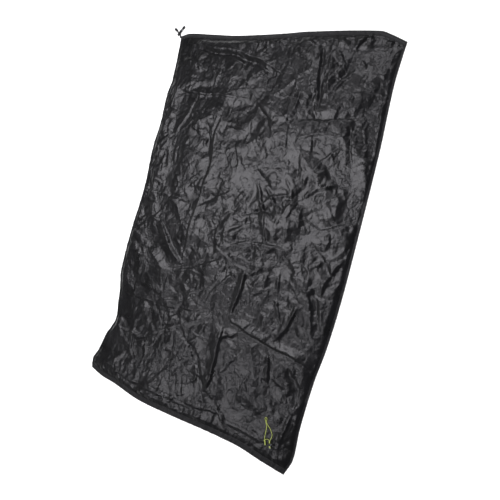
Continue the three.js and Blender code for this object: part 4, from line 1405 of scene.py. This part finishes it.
@dataclass(frozen=True)
class HeadFitting:
    """The black drawcord's two strands where they leave the head channel.

    Attributes:
        place: Middle of the channel's mouth, on the floor.
        diameter: Of the cord.
        half_pitch: From the middle line to each strand's middle.
        path: The middle line of the two strands, to inside the cord end.
    """

    place: tuple[float, float, float] = (-673.508, 945.584, 0.0)
    diameter: float = 4.0
    half_pitch: float = 2.2
    path: Route = (
        (-1, -0.2, 2.9), (-4.2, -0.6, 2.9), (-7.4, 0.9, 3.2), (-9, 4.2, 3.8), (-9.5, 7.8, 4.7),
        (-10.5, 11.6, 5.8), (-12.4, 15.1, 6.5), (-20, 20.2, 6.5), (-28.3, 25.7, 6.5),
        (-36.7, 31.3, 6.5), (-40.2, 33.6, 5.1), (-43.2, 35.7, 3.75), (-46.5, 37.8, 3.65),
        (-55.4, 43.8, 3.65),
    )

    def _beside(self, distance: float) -> Route:
        """The path moved sideways.

        Args:
            distance: How far to the left of its run.

        Returns:
            The points in the frame of the part.
        """
        path = np.array(self.path)
        k = np.arange(len(path))
        run = path[np.minimum(k + 1, len(path) - 1)] - path[np.maximum(k - 1, 0)]
        length = np.hypot(run[:, 0], run[:, 1])
        shift = np.stack([-run[:, 1] / length, run[:, 0] / length, 0 * length], -1) * distance
        return [tuple(p) for p in path + shift + np.array(self.place)]

    def build(self, wardrobe: Wardrobe) -> None:
        """The two strands, with the toggle and the cord end on both.

        Args:
            wardrobe: The materials.
        """
        on_both = (
            "head_lock_body", "head_lock_plunger", "head_lock_coil", "cord_end_lower", "cord_end_upper",
        )
        for name, node, side in (
            ("head_strand_out", "head_cord_out", -1),
            ("head_strand_back", "head_cord_back", 1),
        ):
            route = self._beside(side * self.half_pitch)
            facts = CordFacts(name, node, route, self.diameter, "fitting", on_both)
            facts.build(wardrobe, Slot.BLACK_CORD)


@dataclass(frozen=True)
class ToggleCoil:
    """A toggle's spring, between its body's mouth and its button.

    Attributes:
        name: The piece's name.
        node: The CAD node that it replaces.
        joint: The button's joint; not used.
        body: The toggle's body.
        hole: The toggle's cord hole.
        turn: Heading of its button, from +X.
        start: Distance from the hole to the spring's first end.
        length: Its length.
        radius: Of its middle line.
        wire: Its wire's diameter.
        turns: Its turns.
        travel: How far the button goes in.
    """

    name: str
    node: str
    joint: str
    body: Body
    hole: tuple[float, float, float]
    turn: float
    start: float
    length: float
    radius: float
    wire: float
    turns: int
    travel: float

    def build(self, wardrobe: Wardrobe) -> None:
        """The coil.

        Args:
            wardrobe: The materials.
        """
        t = np.linspace(0, 1, self.turns * 24 + 1)
        angle = 2 * math.pi * self.turns * t
        run = self.start + self.length * t
        sideways, up = self.radius * np.sin(angle), self.radius * np.cos(angle)
        cos, sin = math.cos(self.turn), math.sin(self.turn)
        route = np.stack([cos * run - sin * sideways, sin * run + cos * sideways, up], -1)
        points, faces, runs = tube(route + np.array(self.hole), self.wire / 2, 10)
        coil = mesh_piece(
            self.name, points, faces, wardrobe[Slot.SPRING], self.body, uvs=runs, turn=2.0
        )
        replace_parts(coil, self.node)
        1 - self.travel / self.length
        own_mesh(coil)


COILS = (
    ToggleCoil("foot_lock_coil", "foot_lock_spring", "foot_plunger_press", Body.FOOT_LOCK,
               (538.350, -843.073, 13.728), math.radians(19.3), 8.55, 3.3, 4.3, 0.6, 3, 2.7),
    ToggleCoil("head_lock_coil", "head_lock_spring", "head_plunger_press", Body.HEAD_LOCK,
               (-693.508, 965.784, 6.5), math.radians(56.4), 20.9, 9.5, 5.65, 0.9, 5, 4.0),
)


# ------------------------------------------------------------------ soft goods


@dataclass
class OuterShell:
    """The crinkled nylon that shows, from under the tapes over the batt.

    Attributes:
        surface: Its heights.
        under_side: How many lattice cells its raw edge lies in from each side.
        under_head: How many from the head.
        under_foot: How many from the foot.
        eyelet: Middle of the eyelet, and the radius of the hole that it covers.
    """

    surface: ClothSurface
    under_side: int = 1
    under_head: int = 3
    under_foot: int = 1
    eyelet: tuple[float, float, float] = (542.713, -855.532, 5.2)

    def build(self, wardrobe: Wardrobe) -> bpy.types.Object:
        """The sheet, with a hole that the eyelet covers.

        Args:
            wardrobe: The materials.

        Returns:
            The piece.
        """
        inner = np.s_[self.under_side : -self.under_side, self.under_foot : -self.under_head]
        x, y, z = (values[inner] for values in (self.surface.x, self.surface.y, self.surface.height))
        points = np.stack([x, y, z], -1).reshape(-1, 3)
        faces = strip_faces(*x.shape, closed=False)
        points, faces = self._holed(points, faces)
        piece = mesh_piece("outer_shell_cloth", points, faces[:, ::-1], wardrobe[Slot.SHELL])
        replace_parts(piece, "outer_shell")
        return piece

    def _holed(self, points: Array, faces: Array) -> tuple[Array, Array]:
        """Cuts out the faces under the eyelet and rounds the hole's rim.

        Args:
            points: The sheet's points.
            faces: Its faces.

        Returns:
            The points and the faces that are left.
        """
        x, y, radius = self.eyelet
        middle = points[faces][:, :, :2].mean(1) - (x, y)
        kept = np.hypot(*middle.T) > radius * 0.95
        rim = np.intersect1d(faces[kept], faces[~kept])
        away = points[rim, :2] - (x, y)
        points[rim, :2] = (x, y) + away * (radius / np.linalg.norm(away, axis=1, keepdims=True))
        return points, faces[kept]


@dataclass
class Lining:
    """The olive under-layer, which lies on the floor.

    Attributes:
        side: Inset of its raw edge from each side.
        head: Its inset from the head.
        foot: Its inset from the foot.
        spacing: Size of its mesh's cells.
    """

    side: float = 4
    head: float = 13
    foot: float = 4
    spacing: float = 10

    def build(self, wardrobe: Wardrobe) -> bpy.types.Object:
        """The sheet, with the slight rise and fall of cloth on a flat floor.

        Args:
            wardrobe: The materials.

        Returns:
            The piece.
        """
        u = np.linspace(-LAY.across(self.side), LAY.across(self.side), int(LAY.width / self.spacing))
        v = np.linspace(-LAY.along(self.foot), LAY.along(self.head), int(LAY.length / self.spacing))
        grid_u, grid_v = np.meshgrid(u, v, indexing="ij")
        x, y = LAY.place(grid_u, grid_v)
        rng = np.random.default_rng(SEED + 1)
        side, head, foot = LAY.insets(grid_u, grid_v)
        beyond_tape = np.minimum(np.minimum(side - 10, head - 22), foot - 25)
        lift = 0.75 * (1 - smoothstep(0, 12, beyond_tape))
        ripple = sum(np.abs(gradient_noise(x, y, cell, rng)) for cell in (70, 33, 150)) * 0.18
        z = 0.02 + np.maximum(lift, ripple * smoothstep(0, 40, beyond_tape))
        points = np.stack([x, y, z], -1).reshape(-1, 3)
        piece = mesh_piece(
            "lining_cloth", points, strip_faces(len(u), len(v), closed=False), wardrobe[Slot.LINING],
        )
        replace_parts(piece, "lining_shell")
        return piece


@dataclass
class Batt:
    """The insulation, which fills the room between the shells.

    Attributes:
        surface: The outer shell's heights.
        side: Inset of its edge from each side.
        head: Its inset from the head.
        foot: Its inset from the foot.
        spacing: Size of its mesh's cells.
        under_shell: How far under the shell its top stays.
        underside: Height of its underside.
    """

    surface: ClothSurface
    side: float = 30
    head: float = 42
    foot: float = 84
    spacing: float = 12
    under_shell: float = 0.9
    underside: float = 1.6

    def build(self, wardrobe: Wardrobe) -> bpy.types.Object:
        """The pad, whose top follows the lowest of the outer shell round each point.

        Args:
            wardrobe: The materials.

        Returns:
            The piece.
        """
        u = np.linspace(-LAY.across(self.side), LAY.across(self.side), int(LAY.width / self.spacing))
        v = np.linspace(-LAY.along(self.foot), LAY.along(self.head), int(LAY.length / self.spacing))
        grid_u, grid_v = np.meshgrid(u, v, indexing="ij")
        x, y = LAY.place(grid_u, grid_v)
        steps = np.linspace(-self.spacing, self.spacing, 7)
        nearby = [
            self.surface.at(grid_u + 2 * across / LAY.width, grid_v + 2 * along / LAY.length)
            for across in steps
            for along in steps
        ]
        lowest = np.min(nearby, axis=0)
        top = np.maximum(lowest - self.under_shell, self.underside + 0.3)
        count = len(u) * len(v)
        flat = np.stack([x, y, top], -1).reshape(-1, 3)
        low = flat.copy()
        low[:, 2] = self.underside
        faces = strip_faces(len(u), len(v), closed=False)
        index = np.arange(count).reshape(len(u), len(v))
        rim = np.concatenate([index[:-1, 0], index[-1, :-1], index[:0:-1, -1], index[0, :0:-1]])
        walls = np.stack([rim, np.roll(rim, -1), np.roll(rim, -1) + count, rim + count], -1)
        pad = mesh_piece(
            "batt_pad", np.vstack([flat, low]), np.vstack([faces[:, ::-1], faces + count, walls]),
            wardrobe[Slot.BATT],
        )
        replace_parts(pad, "insulation_batt")
        return pad


class Edge(Enum):
    """The four edges of the quilt."""

    HEAD = "head"
    FOOT = "foot"
    LEFT = "left"
    RIGHT = "right"

    @property
    def runs_across(self) -> bool:
        """Whether it runs from left to right."""
        return self in (Edge.HEAD, Edge.FOOT)


# A stitch's eight faces: its points are its start, left, right, end, crest and root.
PILLOW_FACES = (
    (0, 2, 4), (0, 4, 1), (3, 4, 2), (3, 1, 4), (0, 5, 2), (0, 1, 5), (3, 2, 5), (3, 5, 1),
)


@dataclass
class FoldedTape:
    """A tape folded round the raw edges and sewn down.

    Attributes:
        name: The piece's name.
        node: The CAD node that it replaces.
        edge: The edge that it runs along.
        depth: How far in from the edge it reaches.
        surface: The shell that its upper side lies on.
        rows: Insets of its rows of stitches.
        tunnel: Height and width of the cord tunnel at its fold, or None.
        pucker: Height of the gathers along it.
        low: Station where it starts.
        high: Station where it ends.
        thickness: Of the tape.
        above_shell: How far above the shell its upper side lies.
        step: Between its cross-sections.
        stitch: Length of a stitch.
        pitch: From one stitch to the next.
    """

    name: str
    node: str
    edge: Edge
    depth: float
    surface: ClothSurface
    rows: tuple[float, ...]
    tunnel: tuple[float, float] | None = None
    pucker: float = 0.4
    low: float = -1
    high: float = 1
    thickness: float = 0.5
    above_shell: float = 0.75
    step: float = 4
    stitch: float = 2.6
    pitch: float = 3.6

    @property
    def length(self) -> float:
        """Nominal length of its edge."""
        return LAY.width if self.edge.runs_across else LAY.length

    def _uv(self, station: Array, inset: Array) -> tuple[Array, Array]:
        """Places on the quilt along this edge.

        Args:
            station: Stations along the edge.
            inset: Insets from it.

        Returns:
            The u and the v of each.
        """
        sign = 1 if self.edge in (Edge.HEAD, Edge.RIGHT) else -1
        inward = sign * (1 - 2 * inset / (LAY.length if self.edge.runs_across else LAY.width))
        return (station, inward) if self.edge.runs_across else (inward, station)

    def _gathers(self, stations: Array) -> Array:
        """The puckers that the stitching draws up.

        Args:
            stations: Stations along the edge.

        Returns:
            The height of the pucker at each.
        """
        rng = np.random.default_rng(SEED + len(self.name))
        where = stations * (self.length / 2)
        still = np.zeros_like(where)
        waves = gradient_noise(where, still, 14, rng) + 0.6 * gradient_noise(where, still, 6, rng)
        return self.pucker * waves

    def top(self, station: Array, inset: Array, gathers: Array) -> Array:
        """Height of the tape's upper side.

        Args:
            station: Stations along the edge.
            inset: Insets from it.
            gathers: Height of the pucker at each station.

        Returns:
            The height at each place.
        """
        u, v = self._uv(station, np.maximum(inset, 2))
        lying = self.surface.at(u, v) + self.above_shell
        share = np.sin(np.clip(inset / self.depth, 0, 1) * math.pi * 0.9)
        lying = lying + np.maximum(gathers * share, -0.3)
        if self.tunnel is None:
            return lying
        height, width = self.tunnel
        across = np.clip((inset - width / 2) / (width / 2 + 2.6), -1, 1)
        return np.maximum(lying, height * (1 - across**4) ** 0.5)

    def build(self, wardrobe: Wardrobe) -> bpy.types.Object:
        """The folded strip and its rows of stitches.

        Args:
            wardrobe: The materials.

        Returns:
            The strip.
        """
        count = int((self.high - self.low) / 2 * self.length / self.step)
        stations = np.linspace(self.low, self.high, count)
        rings = self._cross_sections(stations)
        columns = rings.shape[1]
        along = np.repeat(stations * self.length / 2 * MM, columns)
        around = np.tile(np.arange(columns) * 0.001, count)
        piece = mesh_piece(
            self.name, rings.reshape(-1, 3), self._turned(capped_tube_faces(count, columns)),
            wardrobe[Slot.TAPE], uvs=np.stack([along, around], -1),
        )
        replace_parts(piece, self.node)
        self._stitch(wardrobe)
        return piece

    def _cross_sections(self, stations: Array) -> Array:
        """The tape's closed cross-sections, folded round the raw edge with a rounded fold.

        Args:
            stations: Stations along the edge.

        Returns:
            A ring of points for each station.
        """
        insets = np.concatenate([[0.0, 0.25, 1.0], np.linspace(2.2, self.depth, 9)])
        inner = insets + self.thickness * np.array([1, 0.9, 0.35] + [0] * 9)
        high = self.top(stations[:, None], insets, self._gathers(stations)[:, None])
        edge = high[:, 2:3].copy()
        high[:, :3] = edge * np.array([0.5, 0.86, 1.0])
        inner_high = np.maximum(high - self.thickness, 0.62)
        inner_high[:, :2] = edge * np.array([0.5, 0.78])
        low = np.zeros_like(high)
        low[:, :3] = edge * np.array([0.5, 0.14, 0.0])
        inner_low = np.full_like(high, self.thickness)
        inner_low[:, :2] = edge * np.array([0.5, 0.22])
        # Each ring runs along the upper side to the fold, back along the underside, and home inside.
        outside = np.concatenate([insets[::-1], insets[1:]])
        inside = np.concatenate([inner[::-1], inner[1:]])[::-1]
        z = np.concatenate([high[:, ::-1], low[:, 1:]], axis=1)
        inside_z = np.concatenate([inner_high[:, ::-1], inner_low[:, 1:]], axis=1)[:, ::-1]
        x, y = LAY.place(*self._uv(stations[:, None], np.concatenate([outside, inside])))
        return np.stack([x, y, np.concatenate([z, inside_z], axis=1)], -1)

    def _turned(self, faces: list[list[int]]) -> list[list[int]]:
        """Turns faces round on the edges whose stations run the other way.

        Args:
            faces: The faces.

        Returns:
            The faces, with their fronts outwards.
        """
        if self.edge in (Edge.HEAD, Edge.LEFT):
            return faces
        return [face[::-1] for face in faces]

    def _stitch(self, wardrobe: Wardrobe) -> None:
        """Rows of lockstitches, each a short pillow of thread sunk into the tape.

        Args:
            wardrobe: The materials.
        """
        count = int((self.high - self.low) / 2 * self.length / self.pitch)
        stations = np.linspace(self.low, self.high, count + 2)[1:-1]
        gathers = self._gathers(stations)
        half = self.stitch / self.length
        pillows = []
        for row in self.rows:
            inset = np.full_like(stations, row)
            lying = self.top(stations, inset, gathers)
            start, middle, end = (
                np.stack([*LAY.place(*self._uv(stations + shift, inset)), lying + proud], -1)
                for shift, proud in ((-half, 0.08), (0, 0.3), (half, 0.08))
            )
            run = end - start
            side = np.stack([-run[:, 1], run[:, 0], 0 * run[:, 0]], -1)
            side *= 0.32 / np.linalg.norm(side, axis=1, keepdims=True)
            crest, root = middle + (0, 0, 0.12), middle - (0, 0, 0.3)
            pillows.append(np.stack([start, middle + side, middle - side, end, crest, root], 1))
        points = np.concatenate(pillows).reshape(-1, 3)
        faces = np.arange(0, len(points), 6)[:, None, None] + np.array(PILLOW_FACES)
        mesh_piece(
            f"{self.name}_stitches", points, faces.reshape(-1, 3), wardrobe[Slot.STITCHING],
            uvs=np.zeros((len(points), 2)),
        )


# ------------------------------------------------------------------ the CAD nodes that stay

KEPT_NODES = {
    Slot.TAPE: ("foot_casing",),
    Slot.EYELET: ("foot_eyelet", "foot_eyelet_washer"),
    Slot.LIME_CORD: ("foot_drawcord_left", "foot_drawcord_right"),
    Slot.BLACK_CORD: ("head_drawcord", "head_drawcord_return"),
    Slot.STITCHING: ("head_tack_left", "head_tack_right", "foot_tack_left", "foot_tack_right"),
    Slot.MOULDED: (
        "foot_lock_body", "foot_lock_plunger", "head_lock_body", "head_lock_plunger",
        "cord_end_lower", "cord_end_upper",
    ),
}


def shade_round(mesh: bpy.types.Mesh, angle: float) -> None:
    """Shades the faces that meet at less than an angle as one round surface.

    Args:
        mesh: The mesh, whose faces share no points.
        angle: The angle, in radians.
    """
    corners = [
        [tuple(round(c, 6) for c in mesh.vertices[v].co) for v in polygon.vertices]
        for polygon in mesh.polygons
    ]
    weighted = [p.normal * p.area for p in mesh.polygons]
    meeting: dict[tuple[float, ...], list[int]] = {}
    for index, places in enumerate(corners):
        for place in places:
            meeting.setdefault(place, []).append(index)
    normals = []
    for polygon, places in zip(mesh.polygons, corners):
        for place in places:
            near = [
                weighted[other]
                for other in meeting[place]
                if mesh.polygons[other].normal.angle(polygon.normal, 0.0) < angle
            ]
            normals.append(sum(near, Vector()).normalized())
    mesh.polygons.foreach_set("use_smooth", [True] * len(mesh.polygons))
    mesh.normals_split_custom_set(normals)


def dress_kept_nodes(wardrobe: Wardrobe) -> None:
    """Gives each CAD node that stays its finish, with its round faces shaded as round.

    Args:
        wardrobe: The materials.
    """
    for slot, names in KEPT_NODES.items():
        for name in names:
            data = bpy.data.objects[name].data
            data.materials.clear()
            data.materials.append(wardrobe[slot])
            shade_round(data, math.radians(38))
            log.info("%s: %s", name, wardrobe[slot].name)


# ------------------------------------------------------------------ studio


@dataclass(frozen=True)
class Studio:
    """The camera, the floor and the lights.

    Attributes:
        camera_place: The camera's place in metres.
        azimuth: Of the camera from the middle, from +X, in radians.
        elevation: Of the camera above the floor, in radians.
        roll: Of the camera about its own line of sight, in radians.
        lens: Focal length on a 36 mm sensor.
        low_sky: Strength of the surround's light near the floor.
        high_sky: Its strength overhead.
        fill: Strength of the even light on the floor.
    """

    camera_place: tuple[float, float, float] = (1.6458, -0.0511, 2.0473)
    azimuth: float = 0.016844
    elevation: float = 0.942938
    roll: float = -1.31392
    lens: float = 39.355
    low_sky: float = 0.36
    high_sky: float = 0.04
    fill: float = 4.4

    def build_camera(self) -> None:
        """The camera."""
        data = bpy.data.cameras.new("camera")
        data.lens, data.sensor_width = self.lens, 36.0
        data.clip_start, data.clip_end = 0.05, 50
        camera = bpy.data.objects.new("camera", data)
        forward = -Vector((
            math.cos(self.elevation) * math.cos(self.azimuth),
            math.cos(self.elevation) * math.sin(self.azimuth),
            math.sin(self.elevation),
        ))
        level = forward.cross(Vector((0, 0, 1))).normalized()
        over = level.cross(forward)
        right = math.cos(self.roll) * level + math.sin(self.roll) * over
        up = math.cos(self.roll) * over - math.sin(self.roll) * level
        turned = Matrix((right, up, -forward)).transposed().to_4x4()
        camera.matrix_world = Matrix.Translation(self.camera_place) @ turned
        bpy.context.scene.collection.objects.link(camera)
        bpy.context.scene.camera = camera

    def build_floor(self) -> None:
        """A plain white floor that runs out of sight."""
        material = bpy.data.materials.new("white_studio_floor")
        material.use_nodes = True
        shader = material.node_tree.nodes["Principled BSDF"]
        shader.inputs["Base Color"].default_value = linear("#fbfbfb")
        shader.inputs["Roughness"].default_value = 0.9
        shader.inputs["Specular IOR Level"].default_value = 0.1
        mesh = bpy.data.meshes.new("floor")
        reach, drop = 12.0, 0.0004
        corners = [(i * reach, j * reach, -drop) for i, j in ((-1, -1), (1, -1), (1, 1), (-1, 1))]
        mesh.from_pydata(corners, [], [(0, 1, 2, 3)])
        mesh.materials.append(material)
        floor = bpy.data.objects.new("floor", mesh)
        bpy.context.scene.collection.objects.link(floor)

    @staticmethod
    def _light(
        name: str,
        place: tuple[float, float, float],
        size: float,
        power: float,
        colour: tuple[float, float, float],
    ) -> None:
        """A soft square lamp that faces the middle of the quilt.

        Args:
            name: Its name.
            place: Where it stands, in metres.
            size: Its side, in metres.
            power: Its power in watts.
            colour: Its linear colour.
        """
        data = bpy.data.lights.new(name, "AREA")
        data.size, data.energy, data.color = size, power, colour
        lamp = bpy.data.objects.new(name, data)
        lamp.location = place
        lamp.rotation_mode = "QUATERNION"
        lamp.rotation_quaternion = (-Vector(place)).to_track_quat("-Z", "Y")
        bpy.context.scene.collection.objects.link(lamp)

    def _fill_light(self) -> None:
        """Even light from behind the camera that keeps the floor white and makes no highlights."""
        data = bpy.data.lights.new("fill_light", "SUN")
        data.energy, data.angle = self.fill, math.radians(50)
        lamp = bpy.data.objects.new("fill_light", data)
        lamp.rotation_mode = "QUATERNION"
        lamp.rotation_quaternion = Vector((-5.0, 0.4, -6.4)).to_track_quat("-Z", "Y")
        lamp.visible_glossy = False
        bpy.context.scene.collection.objects.link(lamp)

    def build_lights(self) -> None:
        """A pale surround, three soft lamps beyond the quilt and an even fill."""
        world = bpy.data.worlds.new("pale_surround")
        world.use_nodes = True
        tree = world.node_tree
        background = tree.nodes["Background"]
        background.inputs["Color"].default_value = (1, 1, 1, 1)
        # White where the camera looks past the floor. As a light it is dim overhead and paler low
        # down, which gives the folds their dark sides and still lights the cloth seen edge on.
        heading = add_node(tree, "ShaderNodeTexCoord").outputs["Generated"]
        height = add_node(tree, "ShaderNodeSeparateXYZ", {0: heading}).outputs["Z"]
        light = add_node(
            tree, "ShaderNodeMapRange",
            {"Value": height, "From Min": 0.1, "From Max": 0.5, "To Min": self.low_sky,
             "To Max": self.high_sky},
        )
        seen = add_node(tree, "ShaderNodeLightPath").outputs["Is Camera Ray"]
        strength = add_node(tree, "ShaderNodeMix", {"Factor": seen, 2: light.outputs["Result"], 3: 1.0})
        tree.links.new(strength.outputs[0], background.inputs["Strength"])
        bpy.context.scene.world = world
        cool = (0.97, 0.95, 1.0)
        self._light("key_lamp", (-1.6, 0.45, 2.75), 1.5, 37, cool)
        self._light("head_lamp", (-1.2, 2.75, 2.8), 1.0, 17, cool)
        self._light("foot_lamp", (-1.65, -1.6, 2.7), 0.9, 13, cool)
        self._fill_light()

    def build(self) -> None:
        """Everything but the camera."""
        self.build_floor()
        self.build_lights()
        settings = bpy.context.scene.view_settings
        settings.view_transform = "Standard"
        settings.look = "None"


def calm_places(fitting: FootFitting) -> tuple[tuple[float, float, float], ...]:
    """Where the shell lies quiet: round the eyelet, the toggle, the knot and the pull loop.

    Args:
        fitting: The foot fitting.

    Returns:
        Each place as (x, y, radius).
    """
    x, y, _ = fitting.place
    spots = [(0, 0, 14), (fitting.knot_place[0], fitting.knot_place[1], 16), (-4.4, 12.5, 16)]
    spots += [(px, py, 8) for px, py, _ in fitting.loop[::2]]
    return tuple((x + px, y + py, radius) for px, py, radius in spots)


def main() -> None:
    """Builds the quilt, piece by piece."""
    logging.basicConfig(level=logging.INFO, format="%(message)s")
    studio = Studio()
    studio.build_camera()
    wardrobe = Wardrobe()
    for coil in COILS:
        coil.build(wardrobe)
    foot_fitting = FootFitting()
    foot_fitting.build(wardrobe)
    HeadFitting().build(wardrobe)
    surface = ClothSurface(calm=calm_places(foot_fitting))
    between_hems = {"low": -LAY.along(25.3), "high": LAY.along(22.3)}
    tapes = (
        FoldedTape("left_binding_tape", "left_binding", Edge.LEFT, 10, surface, (7.5,), **between_hems),
        FoldedTape("right_binding_tape", "right_binding", Edge.RIGHT, 10, surface, (7.5,), **between_hems),
        FoldedTape("foot_hem_tape", "foot_hem", Edge.FOOT, 25, surface, (20, 23), pucker=1.6),
        FoldedTape("head_channel_tape", "head_channel", Edge.HEAD, 22, surface, (17, 20), (5.8, 9.6), 0.6),
    )
    for tape in tapes:
        tape.build(wardrobe)
    Batt(surface).build(wardrobe)
    OuterShell(surface).build(wardrobe)
    Lining().build(wardrobe)
    dress_kept_nodes(wardrobe)
    studio.build()


if __name__ == "__main__":
    main()
